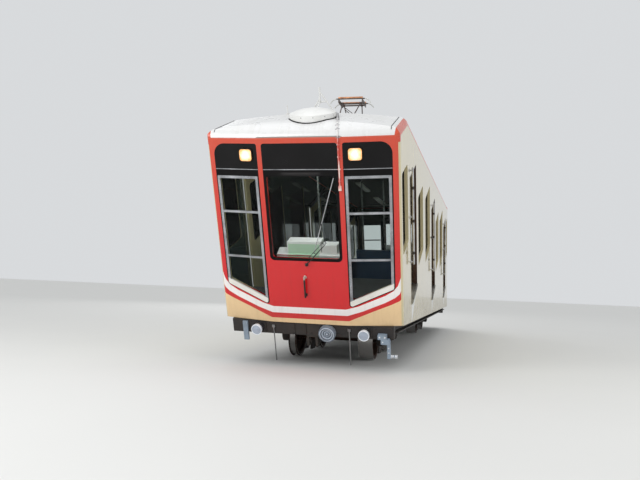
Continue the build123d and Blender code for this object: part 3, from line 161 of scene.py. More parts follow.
class Shape:
    """Points and faces that are gathered into one mesh."""

    def __init__(self):
        self.points = []
        self.faces = []

    def loft(self, loops, closed=False):
        """Skin over loops of points, with flat ends, or closed from the last loop to the first."""
        count = len(loops[0])
        first = len(self.points)
        rows = [range(first + i * count, first + (i + 1) * count) for i in range(len(loops))]
        self.points += [Vector(p) for loop in loops for p in loop]
        for i in range(len(rows) if closed else len(rows) - 1):
            row, other = rows[i], rows[(i + 1) % len(rows)]
            for k in range(count):
                n = (k + 1) % count
                self.faces.append((row[k], row[n], other[n], other[k]))
        if not closed:
            self.faces += [tuple(reversed(rows[0])), tuple(rows[-1])]

    def tube(self, route, radius, sides, closed=False):
        """Round bar along a route; radius is one number or one for each point."""
        route = [Vector(p) for p in route]
        count = len(route)
        radii = radius if isinstance(radius, (list, tuple)) else [radius] * count
        loops = []
        across = None
        for i, p in enumerate(route):
            if closed:
                along = (route[(i + 1) % count] - route[i - 1]).normalized()
            else:
                along = (route[min(i + 1, count - 1)] - route[max(i - 1, 0)]).normalized()
            if across is None:
                across = along.orthogonal().normalized()
            across = (across - along * across.dot(along)).normalized()
            other = along.cross(across)
            loops.append([p + (across * c + other * s) * radii[i] for c, s in turns(sides)])
        self.loft(loops, closed)

    def turned(self, profile, origin, axis, sides):
        """Body of revolution; profile is (place along the axis, radius) points."""
        along = Vector(axis).normalized()
        across = along.orthogonal().normalized()
        other = along.cross(across)
        origin = Vector(origin)
        loops = []
        for place, radius in profile:
            middle = origin + along * place
            loops.append([middle + (across * c + other * s) * max(radius, 1e-5) for c, s in turns(sides)])
        self.loft(loops)

    def bolt(self, place, axis, size):
        """Hexagon head with a chamfer, on a washer."""
        self.turned([(0, size * 0.95), (size * 0.12, size * 0.95)], place, axis, 16)
        head = [(size * 0.12, size * 0.78), (size * 0.6, size * 0.78), (size * 0.75, size * 0.6)]
        self.turned(head, place, axis, 6)

    def prism(self, outline, move):
        """Solid between an outline and its copy moved by a vector."""
        self.loft([outline, [Vector(p) + Vector(move) for p in outline]])


def piece(shape, name, material, body=BODY, place=HILL, replaces=()):
    """Object from a shape drawn in the hill frame or, with ROW as its place, in the part's own."""
    mesh = bpy.data.meshes.new(name)
    mesh.from_pydata([place @ p for p in shape.points], [], shape.faces)
    mesh.validate()
    mesh.update()
    thing = bpy.data.objects.new(name, mesh)
    bpy.context.scene.collection.objects.link(thing)
    mesh.materials.append(PAINTS[material])
    fix_normals(mesh)
    mesh.set_sharp_from_angle(angle=math.radians(30))
    for polygon in mesh.polygons:
        polygon.use_smooth = True
    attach(thing, body)
    if replaces:
        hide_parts(*replaces)


def fix_normals(mesh):
    """Turn the faces of each closed part outward."""
    work = bmesh.new()
    work.from_mesh(mesh)
    bmesh.ops.recalc_face_normals(work, faces=work.faces)
    work.to_mesh(mesh)
    work.free()


# Materials


PAINTS = {}


class Paint:
    """Node material, kept in PAINTS by its name; with hill it reads places in the hill frame."""

    def __init__(self, name, hill=False):
        self.material = bpy.data.materials.new(name)
        PAINTS[name] = self.material
        self.material.use_nodes = True
        self.tree = self.material.node_tree
        self.tree.nodes.clear()
        self.out = self.node("ShaderNodeOutputMaterial")
        self.shader = self.node("ShaderNodeBsdfPrincipled")
        self.join(self.shader.outputs[0], self.out.inputs["Surface"])
        self.place = self.node("ShaderNodeTexCoord").outputs["Object"]
        if hill:
            turn = self.node("ShaderNodeMapping")
            turn.vector_type = "TEXTURE"
            turn.inputs["Location"].default_value = (0, Y_SHIFT, Z_SHIFT)
            turn.inputs["Rotation"].default_value = (SLOPE, 0, 0)
            self.join(self.place, turn.inputs["Vector"])
            self.place = turn.outputs[0]

    def node(self, kind):
        """New node of the material."""
        return self.tree.nodes.new(kind)

    def join(self, a, b):
        """Link an output to an input."""
        self.tree.links.new(a, b)

    def put(self, socket, value):
        """Link or set one input."""
        if isinstance(value, bpy.types.NodeSocket):
            self.join(value, socket)
        else:
            socket.default_value = value

    def calc(self, operation, a, b=0.0, clamp=False):
        """One calculation; a and b are numbers or outputs of nodes."""
        node = self.node("ShaderNodeMath")
        node.operation = operation
        node.use_clamp = clamp
        self.put(node.inputs[0], a)
        self.put(node.inputs[1], b)
        return node.outputs[0]

    # Calculations by their own names
    plus = partialmethod(calc, "ADD")
    minus = partialmethod(calc, "SUBTRACT")
    times = partialmethod(calc, "MULTIPLY")
    over = partialmethod(calc, "DIVIDE")
    lower = partialmethod(calc, "MINIMUM")
    higher = partialmethod(calc, "MAXIMUM")
    size = partialmethod(calc, "ABSOLUTE")

    def away(self, a, b):
        """Distance of the point (a, b) from zero."""
        return self.calc("SQRT", self.plus(self.times(a, a), self.times(b, b)))

    def axes(self, vector=None):
        """Three numbers of the place or of another vector."""
        node = self.node("ShaderNodeSeparateXYZ")
        self.put(node.inputs[0], vector or self.place)
        return node.outputs

    def normal_up(self):
        """How far the surface faces up, from -1 to 1."""
        return self.axes(self.node("ShaderNodeNewGeometry").outputs["Normal"])[2]

    def noise(self, scale, detail=3.0, stretch=None):
        """Noise by position, from 0 to 1; stretch scales the three directions."""
        vector = self.place
        if stretch:
            mapping = self.node("ShaderNodeMapping")
            mapping.inputs["Scale"].default_value = stretch
            self.join(vector, mapping.inputs["Vector"])
            vector = mapping.outputs[0]
        node = self.node("ShaderNodeTexNoise")
        node.inputs["Scale"].default_value = scale
        node.inputs["Detail"].default_value = detail
        self.join(vector, node.inputs["Vector"])
        return node.outputs["Fac"]

    def span(self, value, low, high, start=0.0, end=1.0):
        """Value mapped from low..high to start..end and held at the ends."""
        node = self.node("ShaderNodeMapRange")
        self.put(node.inputs["Value"], value)
        node.inputs["From Min"].default_value = low
        node.inputs["From Max"].default_value = high
        node.inputs["To Min"].default_value = start
        node.inputs["To Max"].default_value = end
        return node.outputs[0]

    def uneven(self, scale, low, high):
        """Value that varies by position between low and high."""
        return self.span(self.noise(scale, 4.0), 0.3, 0.7, low, high)

    def mix(self, share, a, b):
        """Colour a where share is 0, and colour b where it is 1."""
        node = self.node("ShaderNodeMix")
        node.data_type = "RGBA"
        self.put(node.inputs["Factor"], share)
        self.put(node.inputs[6], rgba(a))
        self.put(node.inputs[7], rgba(b))
        return node.outputs[2]

    def curve(self, value, points):
        """Height of a line of (place, height) points, read at a value; heights lie between 0 and 1."""
        node = self.node("ShaderNodeFloatCurve")
        reach = points[-1][0]
        line = node.mapping.curves[0]
        scaled = [(x / reach, y) for x, y in points]
        line.points[0].location = scaled[0]
        line.points[1].location = scaled[-1]
        for place in scaled[1:-1]:
            line.points.new(*place)
        for point in line.points:
            point.handle_type = "VECTOR"
        node.mapping.update()
        self.join(self.over(value, reach), node.inputs["Value"])
        return node.outputs[0]

    def above(self, value, edge, soft=0.003):
        """0 below an edge and 1 above it."""
        return self.plus(self.over(self.minus(value, edge), soft), 0.5, clamp=True)

    def below(self, value, edge, soft=0.003):
        """1 below an edge and 0 above it."""
        return self.minus(1.0, self.above(value, edge, soft))

    def bump(self, height, strength, distance):
        """Relief of the whole surface."""
        node = self.node("ShaderNodeBump")
        node.inputs["Strength"].default_value = strength
        node.inputs["Distance"].default_value = distance
        self.join(height, node.inputs["Height"])
        self.join(node.outputs[0], self.shader.inputs["Normal"])

    def grain(self, scale, strength):
        """Fine relief by noise."""
        self.bump(self.noise(scale), strength, 0.001)

    def set(self, tone, rough, **others):
        """Set the shader's colour, roughness and other inputs; names have underscores for spaces."""
        for name, value in dict(others, Base_Color=tone, Roughness=rough).items():
            socket = self.shader.inputs[name.replace("_", " ")]
            self.put(socket, rgba(value) if socket.type == "RGBA" else value)


def rgba(colour):
    """Colour with an alpha, from three numbers as they show on a screen."""
    if isinstance(colour, bpy.types.NodeSocket) or len(colour) == 4:
        return colour
    return tuple(((c + 0.055) / 1.055) ** 2.4 if c > 0.04045 else c / 12.92 for c in colour) + (1.0,)


def grime(paint, colour, dirt, amount, scale):
    """Colour with soft patches and fine specks of dirt."""
    patches = paint.span(paint.noise(scale, 5.0), 0.45, 0.8, 0.0, amount)
    specks = paint.span(paint.noise(scale * 30, 2.0), 0.6, 0.8, 0.0, amount * 0.5)
    return paint.mix(specks, paint.mix(patches, colour, dirt), dirt)


def painted(name, colour, dirt, rough, amount, scale, coat=0.0, metal=0.0, relief=0.05, shine=0.5):
    """Painted or bare surface with patches, specks and a faint relief."""
    paint = Paint(name)
    tone = grime(paint, colour, dirt, amount, scale)
    dull = paint.uneven(scale * 4, rough * 0.8, min(rough * 1.25, 1.0))
    paint.grain(scale * 60, relief)
    paint.set(tone, dull, Metallic=metal, Coat_Weight=coat, Coat_Roughness=0.05, Specular_IOR_Level=shine)


def brushed(name, colour, rough, stretch=(1, 1, 1)):
    """Metal with fine lines along one direction."""
    paint = Paint(name)
    lines = paint.noise(120, 3.0, stretch)
    patches = paint.span(paint.noise(6, 4.0), 0.35, 0.75)
    tone = paint.mix(patches, colour, tuple(c * 0.72 for c in colour))
    dull = paint.span(lines, 0.3, 0.7, rough * 0.7, rough * 1.3)
    paint.bump(lines, 0.08, 0.0005)
    paint.set(tone, dull, Metallic=1.0)


RED = (0.82, 0.10, 0.12)
ORANGE_RED = (0.80, 0.30, 0.18)
STRIPE_WHITE = (0.96, 0.94, 0.93)
CREAM = (0.94, 0.81, 0.62)
SIDE_CREAM = (0.83, 0.78, 0.62)
ROOF_WHITE = (0.89, 0.89, 0.89)
BLACK = (0.045, 0.04, 0.045)
LINING = (0.20, 0.25, 0.22)
CEILING = (0.30, 0.32, 0.30)
SHIELD_WHITE = (0.90, 0.90, 0.88)

# Where the paint of the ends, sides and roof changes: depths, heights and places out from the middle
PAINT_DEPTH = 0.066
SIDE_SEAM = 0.006
BAND_START = 2.44
ROOF_EDGE = 0.016
ROOF_LINING = 0.045
ROOF_PANEL = 1.75
RED_SHOULDER = (1.185, 1.205)
SHOULDER_DEPTHS = (0.15, 0.072)

# Where the desk's boxes, its red line, the joints of the rails and the bare end of the handle lie
DESK_BOX_X = -0.06
DESK_BOX_HALF = 0.215
DESK_BOX_RIDGE = 1.088
DESK_LINE = (0.934, 0.948)
DESK_LINE_END = 0.04
RAIL_JOINTS = 0.47
HANDLE_BARE = 0.655

# Heights of the stripes' edges above the foot of the upper end, at places out from the middle
WHITE_TOP = ((0, 0.233), (0.50, 0.233), (0.66, 0.275), (1.02, 0.428), (1.13, 0.495), (1.19, 0.57),
             (1.25, 0.75))
WHITE_FOOT = ((0, 0.142), (0.52, 0.142), (0.72, 0.205), (1.02, 0.33), (1.15, 0.40), (1.21, 0.455),
              (1.25, 0.56))
RED_FOOT = ((0, 0.065), (0.54, 0.065), (0.84, 0.195), (1.10, 0.302), (1.21, 0.356), (1.25, 0.40))


def end_paint(name, foot, way, front):
    """Paint of an end: red, a white and a red stripe that rise outward, and cream below."""
    paint = Paint(name, hill=True)
    x, h, g = paint.axes()
    out = paint.size(x)
    height = paint.minus(g, foot)
    white = paint.above(height, paint.curve(out, WHITE_FOOT))
    red = paint.above(height, paint.curve(out, WHITE_TOP))
    lower = paint.above(height, paint.curve(out, RED_FOOT))
    warm = paint.span(height, 1.0, 2.5, 0.0, 0.8)
    top = paint.mix(warm, RED, ORANGE_RED)
    tone = paint.mix(lower, CREAM, RED)
    tone = paint.mix(white, tone, STRIPE_WHITE)
    tone = paint.mix(red, tone, top)
    past = paint.times(paint.minus(h, front), way)
    side = paint.times(paint.above(past, SIDE_SEAM), paint.below(height, BAND_START, 0.01))
    tone = paint.mix(side, tone, SIDE_CREAM)
    swept = paint.times(paint.higher(paint.minus(out, FACE_HALF), 0.0), SWEEP_RATE)
    deep = paint.minus(paint.plus(past, SWEEP), swept)
    within = paint.times(paint.above(deep, PAINT_DEPTH), paint.below(out, HALF - PAINT_DEPTH))
    tone = paint.mix(within, tone, LINING)
    dust = paint.times(paint.span(height, 0.35, 0.0, 0.0, 0.35), paint.noise(5, 5.0))
    tone = paint.mix(dust, tone, (0.45, 0.38, 0.30))
    streaks = paint.span(paint.noise(4, 4.0, (6, 6, 0.7)), 0.52, 0.9, 0.0, 0.14)
    tone = paint.mix(streaks, tone, (0.35, 0.2, 0.15))
    rough = paint.uneven(9, 0.10, 0.20)
    paint.bump(paint.noise(2.2, 2.0), 0.05, 0.01)
    paint.set(tone, rough, Coat_Weight=0.35, Coat_Roughness=0.04)


def side_paint():
    """Cream gloss paint of the sides, duller and dusty along the skirt."""
    paint = Paint("side_paint", hill=True)
    x, h, g = paint.axes()
    low = paint.plus(g, paint.times(paint.minus(h, SWEEP), FALL))
    faded = paint.span(paint.noise(1.5, 4.0), 0.35, 0.7, 0.0, 0.4)
    tone = paint.mix(faded, SIDE_CREAM, (0.82, 0.75, 0.57))
    streaks = paint.span(paint.noise(5, 5.0, (1, 5, 0.5)), 0.5, 0.85, 0.0, 0.10)
    tone = paint.mix(streaks, tone, (0.55, 0.5, 0.38))
    dust = paint.times(paint.span(low, 0.7, 0.0, 0.0, 0.8), paint.noise(7, 5.0))
    tone = paint.mix(dust, tone, (0.40, 0.36, 0.29))
    bay = paint.over(paint.minus(h, DOOR_START), BAY)
    number = paint.calc("FLOOR", bay)
    along = paint.times(paint.minus(bay, number), BAY)
    sill = paint.minus(DOOR_SILL, paint.times(number, BAY * FALL))
    drop = paint.minus(sill, g)
    reach = paint.minus(WEDGE_DEPTH, paint.times(along, WEDGE_DEPTH / DOOR_WIDTH))
    wedge = paint.times(paint.above(drop, 0.0), paint.above(paint.minus(reach, drop), 0.0))
    wedge = paint.times(wedge, paint.above(DOOR_WIDTH, along))
    tone = paint.mix(wedge, tone, SHIELD_WHITE)
    within = paint.below(paint.size(x), HALF - PAINT_DEPTH)
    tone = paint.mix(within, tone, LINING)
    rough = paint.plus(paint.uneven(8, 0.05, 0.10), paint.times(dust, 0.4))
    paint.bump(paint.noise(1.8, 2.0), 0.08, 0.015)
    paint.set(tone, rough, Coat_Weight=0.3, Coat_Roughness=0.03, Specular_IOR_Level=0.25)


def roof_paint():
    """White roof, red along its edges and on its shoulders, with joints across it; grey inside."""
    paint = Paint("roof_white", hill=True)
    x, h, g = paint.axes()
    sloping = paint.minus(paint.lower(paint.higher(h, RIDGE), REAR_START), RIDGE)
    rise = paint.plus(paint.minus(g, FACE_HEIGHT), paint.times(sloping, FALL))
    dull = paint.span(paint.noise(1.2, 5.0), 0.4, 0.75, 0.0, 0.5)
    tone = paint.mix(dull, ROOF_WHITE, (0.82, 0.82, 0.80))
    streaks = paint.span(paint.noise(4, 5.0, (5, 0.6, 1)), 0.5, 0.85, 0.0, 0.2)
    tone = paint.mix(streaks, tone, (0.66, 0.64, 0.60))
    panel = paint.size(paint.minus(paint.calc("FRACT", paint.over(h, ROOF_PANEL)), 0.5))
    tone = paint.mix(paint.above(panel, 0.497, 0.001), tone, (0.55, 0.54, 0.52))
    inset = paint.lower(h, paint.minus(REAR_FACE, h))
    corner = paint.times(paint.span(inset, 0.0, 0.05), paint.span(paint.size(x), *RED_SHOULDER))
    depth = paint.span(inset, RIDGE - 0.1, RIDGE + 0.1, *SHOULDER_DEPTHS)
    edge = paint.plus(paint.times(corner, depth), ROOF_EDGE)
    red = paint.below(paint.minus(rise, edge), 0.0)
    tone = paint.mix(red, tone, ORANGE_RED)
    inside = paint.below(paint.size(x), HALF - ROOF_LINING, 0.002)
    inside = paint.times(inside, paint.below(rise, 0.0, 0.004))
    under = paint.calc("GREATER_THAN", -0.5, paint.normal_up())
    inside = paint.higher(inside, under)
    tone = paint.mix(inside, tone, CEILING)
    rough = paint.higher(paint.uneven(6, 0.22, 0.4), inside)
    paint.bump(paint.noise(40, 3.0), 0.08, 0.002)
    gloss = paint.minus(0.3, paint.times(inside, 0.3))
    paint.set(tone, rough, Coat_Weight=gloss, Coat_Roughness=0.1)


def glass(name, see, clearness):
    """Glass with faint smears, a mirror at flat angles; see is the share that shows through."""
    paint = Paint(name)
    smear = paint.span(paint.noise(3, 5.0), 0.4, 0.8, 0.01, 0.05)
    dust = paint.span(paint.noise(12, 4.0), 0.55, 0.9, 0.0, 0.10)
    paint.bump(paint.noise(1.5, 2.0), 0.03, 0.01)
    tone = paint.mix(dust, (0.02, 0.03, 0.03), (0.3, 0.3, 0.28))
    paint.set(tone, smear, Specular_IOR_Level=0.9)
    clear = paint.node("ShaderNodeBsdfTransparent")
    clear.inputs["Color"].default_value = clearness
    edge = paint.node("ShaderNodeLayerWeight")
    edge.inputs["Blend"].default_value = 0.12
    through = paint.times(paint.minus(1.0, edge.outputs["Fresnel"]), see)
    blend = paint.node("ShaderNodeMixShader")
    paint.join(paint.minus(1.0, through), blend.inputs[0])
    paint.join(clear.outputs[0], blend.inputs[1])
    paint.join(paint.shader.outputs[0], blend.inputs[2])
    paint.join(blend.outputs[0], paint.out.inputs["Surface"])


def header_paint():
    """Black gloss panels with a little dust."""
    paint = Paint("header_black")
    tone = paint.mix(paint.span(paint.noise(4, 4.0), 0.4, 0.8), BLACK, (0.075, 0.07, 0.075))
    rough = paint.uneven(7, 0.12, 0.26)
    paint.bump(paint.noise(50, 2.0), 0.03, 0.001)
    paint.set(tone, rough, Specular_IOR_Level=0.2)


def wheel_paint(name, y):
    """Oiled dark iron with a bright rolling surface, by distance from the axle."""
    paint = Paint(name)
    _, along, up = paint.axes()
    away = paint.away(paint.minus(along, y), paint.minus(up, AXLE_Z))
    within = paint.below(away, FLANGE_START, 0.004)
    bright = paint.times(paint.above(away, TREAD_RADIUS, 0.002), within)
    rust = paint.mix(paint.span(paint.noise(9, 6.0), 0.4, 0.7), (0.16, 0.12, 0.10), (0.30, 0.20, 0.14))
    tone = paint.mix(bright, rust, (0.62, 0.61, 0.60))
    rough = paint.mix(bright, (0.75, 0.75, 0.75, 1), (0.25, 0.25, 0.25, 1))
    paint.bump(paint.noise(80, 4.0), 0.25, 0.001)
    paint.set(tone, rough, Metallic=0.6)


def lamp_glow(strength):
    """Lit headlight, white in the middle and warm towards its edge."""
    paint = Paint("lamp_lens", hill=True)
    x, h, g = paint.axes()
    drop = paint.times(paint.above(h, REAR_FACE / 2), REAR_TOP - FACE_HEIGHT)
    rise = paint.minus(paint.minus(g, drop), FACE_HEIGHT + LAMP_G)
    away = paint.away(paint.minus(paint.size(x), LAMP_X), rise)
    uneven = paint.plus(away, paint.span(paint.noise(18, 3.0), 0.3, 0.7, -0.012, 0.012))
    tone = paint.mix(paint.span(uneven, 0.03, 0.085), (1.0, 0.96, 0.84), (0.93, 0.66, 0.38))
    paint.bump(paint.noise(60, 2.0), 0.1, 0.002)
    paint.set(tone, 0.12, Emission_Color=tone, Emission_Strength=strength, Coat_Weight=0.8)


def beam_lamp_paint():
    """Pale face of a beam lamp, with its rim, in front of a dark housing."""
    paint = Paint("beam_lamp_white", hill=True)
    _, h, _ = paint.axes()
    out = paint.lower(h, paint.minus(REAR_FACE, h))
    behind = paint.above(out, -BEAM_LAMP_FACE, 0.004)
    pale = grime(paint, (0.86, 0.89, 0.93), (0.6, 0.6, 0.6), 0.25, 9)
    tone = paint.mix(behind, pale, (0.20, 0.20, 0.21))
    paint.grain(70, 0.1)
    rough = paint.uneven(30, 0.2, 0.4)
    paint.set(tone, rough, Coat_Weight=0.4, Coat_Roughness=0.05)


def desk_paint():
    """Pale green desk, white beside and above its boxes, with a red line near the windscreen's foot."""
    paint = Paint("desk_green", hill=True)
    x, _, g = paint.axes()
    tone = grime(paint, (0.80, 0.92, 0.81), (0.65, 0.72, 0.65), 0.25, 5)
    side = paint.above(paint.size(paint.minus(x, DESK_BOX_X)), DESK_BOX_HALF)
    white = paint.higher(side, paint.above(g, DESK_BOX_RIDGE))
    tone = paint.mix(white, tone, (0.98, 0.98, 0.97))
    low, high = (paint.above(g, level) for level in DESK_LINE)
    line = paint.times(paint.minus(low, high), paint.above(DESK_LINE_END, x))
    tone = paint.mix(line, tone, (0.72, 0.22, 0.20))
    paint.grain(60, 0.05)
    rough = paint.uneven(20, 0.3, 0.5)
    paint.set(tone, rough)


def rail_paint():
    """Polished tube with dark joints."""
    paint = Paint("rail_steel", hill=True)
    _, _, g = paint.axes()
    lines = paint.noise(120, 3.0, (1, 1, 0.1))
    tone = paint.mix(paint.span(paint.noise(6, 4.0), 0.35, 0.75), (0.84, 0.84, 0.85), (0.6, 0.6, 0.61))
    part = paint.size(paint.minus(paint.calc("FRACT", paint.over(g, RAIL_JOINTS)), 0.5))
    joint = paint.above(0.045, part, 0.01)
    tone = paint.mix(joint, tone, (0.16, 0.15, 0.15))
    paint.bump(lines, 0.08, 0.0005)
    rough = paint.span(lines, 0.3, 0.7, 0.15, 0.3)
    paint.set(tone, rough, Metallic=paint.minus(1.0, joint))


def buffer_paint():
    """Blue-grey buffer with dark rings by distance from its axis, painted shade in the grooves between
    its ridges.
    """
    paint = Paint("buffer_grey", hill=True)
    x, h, g = paint.axes()
    rear = paint.above(h, REAR_FACE / 2)
    level = paint.plus(BUFFER_LEVEL, paint.times(rear, REAR_BOTTOM))
    away = paint.away(paint.minus(x, BUFFER_X), paint.minus(g, level))
    # Dark rings: painted shade of the grooves, by distance from the axis
    rings = paint.calc("SINE", paint.times(away, 2 * math.pi / BUFFER_RING))
    tone = paint.mix(paint.span(rings, -0.3, 0.6), (0.42, 0.45, 0.50), (0.72, 0.76, 0.80))
    dirt = paint.span(paint.noise(14, 5.0), 0.5, 0.8, 0.0, 0.5)
    tone = paint.mix(dirt, tone, (0.35, 0.34, 0.33))
    paint.grain(90, 0.2)
    rough = paint.uneven(30, 0.35, 0.6)
    paint.set(tone, rough, Metallic=0.15)


def head_paint():
    """Copper-brown contact strips between pale horns, on dark carriers."""
    paint = Paint("panto_head")
    x, _, z = paint.axes()
    horn = paint.above(paint.size(x), HORN_START)
    strip = paint.above(z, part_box("pantograph_head")[1].z - HEAD_STRIP)
    lines = paint.noise(60, 4.0, (0.2, 3, 3))
    copper = paint.mix(paint.span(lines, 0.35, 0.7), (0.78, 0.55, 0.38), (0.45, 0.28, 0.20))
    tone = paint.mix(strip, (0.30, 0.25, 0.22), copper)
    tone = paint.mix(horn, tone, (0.80, 0.80, 0.78))
    paint.bump(lines, 0.2, 0.001)
    rough = paint.uneven(30, 0.3, 0.55)
    paint.set(tone, rough, Metallic=paint.span(strip, 0.0, 1.0, 0.2, 0.5))


def handle_paint():
    """Dark handle, worn bright at its upper end."""
    paint = Paint("handle_black", hill=True)
    _, _, g = paint.axes()
    tone = grime(paint, (0.08, 0.06, 0.06), (0.2, 0.19, 0.18), 0.3, 20)
    bare = paint.above(g, HANDLE_BARE, 0.02)
    tone = paint.mix(bare, tone, (0.78, 0.74, 0.70))
    paint.grain(150, 0.1)
    rough = paint.uneven(60, 0.3, 0.5)
    paint.set(tone, rough, Metallic=paint.times(bare, 0.8))


def cable_paint():
    """Pale cover of the roof cable; below the edge of the roof, painted red reflection of the pillar with
    white patches of the pale cover and painted highlights.
    """
    paint = Paint("cable_cover", hill=True)
    _, _, g = paint.axes()
    # Below the roof's edge: the red is a painted reflection of the pillar; its white patches are the
    # cover and painted highlights
    pale_and_highlit = paint.span(paint.noise(14, 4.0, (1, 1, 0.5)), 0.42, 0.58)
    low = paint.mix(pale_and_highlit, (0.84, 0.28, 0.24), (0.93, 0.86, 0.82))
    stains = paint.span(paint.noise(30, 4.0), 0.4, 0.7, 0.0, 0.6)
    high = paint.mix(stains, (0.90, 0.89, 0.88), (0.70, 0.66, 0.66))
    tone = paint.mix(paint.above(g, FACE_HEIGHT + 0.02, 0.03), low, high)
    paint.grain(120, 0.15)
    rough = paint.uneven(40, 0.25, 0.45)
    paint.set(tone, rough, Coat_Weight=0.3, Coat_Roughness=0.1)


roof_paint()
end_paint("end_paint", 0.0, 1.0, SWEEP)
end_paint("rear_end_paint", REAR_TOP - FACE_HEIGHT, -1.0, REAR_FACE - SWEEP)
glass("end_glass", 0.93, (0.93, 0.96, 0.95, 1.0))
glass("glass", 0.7, (0.80, 0.88, 0.84, 1.0))
painted("sill_white", (0.92, 0.91, 0.88), (0.5, 0.46, 0.4), 0.2, 0.2, 8, coat=0.5)
painted("rubber_black", (0.035, 0.03, 0.032), (0.10, 0.095, 0.09), 0.5, 0.3, 12, relief=0.1, shine=0.15)
# Dark brown door frames: their paint, partly painted shade of the door recesses
painted("door_frame_brown", (0.22, 0.13, 0.08), (0.1, 0.07, 0.05), 0.3, 0.4, 6, coat=0.3)
brushed("sill_aluminium", (0.82, 0.82, 0.80), 0.35, (8, 1, 1))
brushed("frame_silver", (0.74, 0.75, 0.77), 0.3, (1, 1, 0.1))
header_paint()
lamp_glow(0.7)
side_paint()
painted("door_paint", (0.84, 0.78, 0.60), (0.5, 0.45, 0.35), 0.14, 0.25, 3, coat=0.6)
brushed("runner_steel", (0.5, 0.5, 0.5), 0.45)
painted("floor_grey", (0.42, 0.43, 0.43), (0.25, 0.24, 0.22), 0.6, 0.5, 5, relief=0.3)
painted("frame_dark", (0.16, 0.145, 0.14), (0.28, 0.24, 0.20), 0.6, 0.5, 5, relief=0.3)
painted("bench_plastic", (0.20, 0.30, 0.42), (0.12, 0.16, 0.22), 0.5, 0.4, 7, relief=0.3)
brushed("pole_steel", (0.8, 0.8, 0.8), 0.25, (1, 1, 0.1))
desk_paint()
rail_paint()
painted("vent_white", (0.92, 0.92, 0.91), (0.62, 0.60, 0.56), 0.35, 0.3, 4)
painted("mast_white", (0.88, 0.88, 0.87), (0.55, 0.5, 0.45), 0.4, 0.3, 9)
cable_paint()
beam_lamp_paint()
buffer_paint()
brushed("feeler_steel", (0.6, 0.6, 0.6), 0.4, (1, 1, 0.1))
painted("bracket_grey", (0.56, 0.62, 0.68), (0.35, 0.34, 0.33), 0.45, 0.4, 9)
painted("anchor_iron", (0.26, 0.24, 0.22), (0.14, 0.12, 0.10), 0.5, 0.6, 12, metal=0.4, relief=0.4)
painted("wiper_black", (0.07, 0.07, 0.075), (0.2, 0.19, 0.18), 0.4, 0.3, 20)
handle_paint()
painted("panto_dark", (0.30, 0.27, 0.26), (0.45, 0.28, 0.18), 0.5, 0.5, 18, metal=0.3)
head_paint()
painted("bogie_dark", (0.15, 0.135, 0.125), (0.30, 0.22, 0.16), 0.65, 0.6, 7, relief=0.5)
painted("bezel", (0.16, 0.13, 0.11), (0.3, 0.25, 0.2), 0.25, 0.3, 20, metal=0.7)
painted("bolt_steel", (0.70, 0.70, 0.70), (0.35, 0.33, 0.30), 0.3, 0.4, 40, metal=0.9)
painted("bolt_dark", (0.24, 0.22, 0.21), (0.32, 0.24, 0.18), 0.5, 0.4, 40, metal=0.4)
painted("bolt_bright", (0.88, 0.89, 0.90), (0.6, 0.6, 0.6), 0.35, 0.3, 40, coat=0.3)
painted("strap_steel", (0.74, 0.74, 0.75), (0.42, 0.41, 0.40), 0.3, 0.4, 40, metal=0.6)
painted("beam_lens", (0.67, 0.71, 0.77), (0.5, 0.52, 0.56), 0.12, 0.25, 14, coat=0.8)
painted("lamp_rim", (0.94, 0.96, 0.98), (0.7, 0.7, 0.72), 0.15, 0.2, 30, coat=0.6)
painted("ceiling_lamp", (0.92, 0.92, 0.88), (0.7, 0.7, 0.65), 0.4, 0.2, 12)
for number in WHEELSETS:
    wheel_paint(f"wheel_steel_{number}", axle_y(number))

# Each CAD node takes the paint of its slot, and each wheelset its own
for sub in frame["record"]["subparts"]:
    node = frame["nodes"][sub["node"]]
    wanted = PAINTS.get(sub["material_slot"]) or PAINTS["wheel_steel_" + sub["node"][-1]]
    node.data.materials.clear()
    node.data.materials.append(wanted)


# Places on the CAD model


ROOF = frame["nodes"]["roof"].data
ROOF_TREE = BVHTree.FromPolygons([v.co for v in ROOF.vertices], [p.vertices for p in ROOF.polygons])


def meet_roof(place, way):
    """Point in the hill frame where a ray from a place first meets the roof."""
    spot = ROOF_TREE.ray_cast(HILL @ Vector(place), HILL.to_3x3() @ Vector(way))[0]
    return HILL.inverted() @ spot if spot else None


def on_roof(x, h, lift=0.0):
    """Point of the roof's top, raised by a lift."""
    spot = meet_roof((x, h, FACE_HEIGHT + 1.0), (0, 0, -1))
    return Vector((x, h, spot.z + lift)) if spot else None


def on_end(x, out, g, rear=False):
    """Point in front of an end panel, with its height measured from the eaves."""
    deep = max(abs(x) - FACE_HALF, 0.0) * SWEEP_RATE - out
    return Vector((x, REAR_FACE - deep, REAR_TOP + g)) if rear else Vector((x, deep, FACE_HEIGHT + g))


def under_end(x, out, g, rear=False):
    """Point in front of an end beam, with its height measured from the foot of its end."""
    if rear:
        return Vector((x, REAR_FACE - BEAM_FRONT + out, REAR_BOTTOM + g))
    return Vector((x, BEAM_FRONT - out, g))


def outward(rear=False):
    """Direction in which an end of the car faces."""
    return Vector((0, 1.0 if rear else -1.0, 0))


def end_facing(x, rear=False):
    """Direction in which the end panel at x faces."""
    lean = SWEEP_RATE if abs(x) > FACE_HALF else 0.0
    return (outward(rear) + Vector((math.copysign(lean, x), 0, 0))).normalized()


def rounded_square(width, height, corner):
    """Outline of a rectangle with round corners, about its middle."""
    steps = 6
    points = []
    for turn, (sx, sz) in enumerate(((1, 1), (-1, 1), (-1, -1), (1, -1))):
        for step in range(steps + 1):
            angle = math.radians(90 * turn + 90 * step / steps)
            points.append((sx * (width / 2 - corner) + corner * math.cos(angle),
                           sz * (height / 2 - corner) + corner * math.sin(angle)))
    return points


# Pieces of the ends


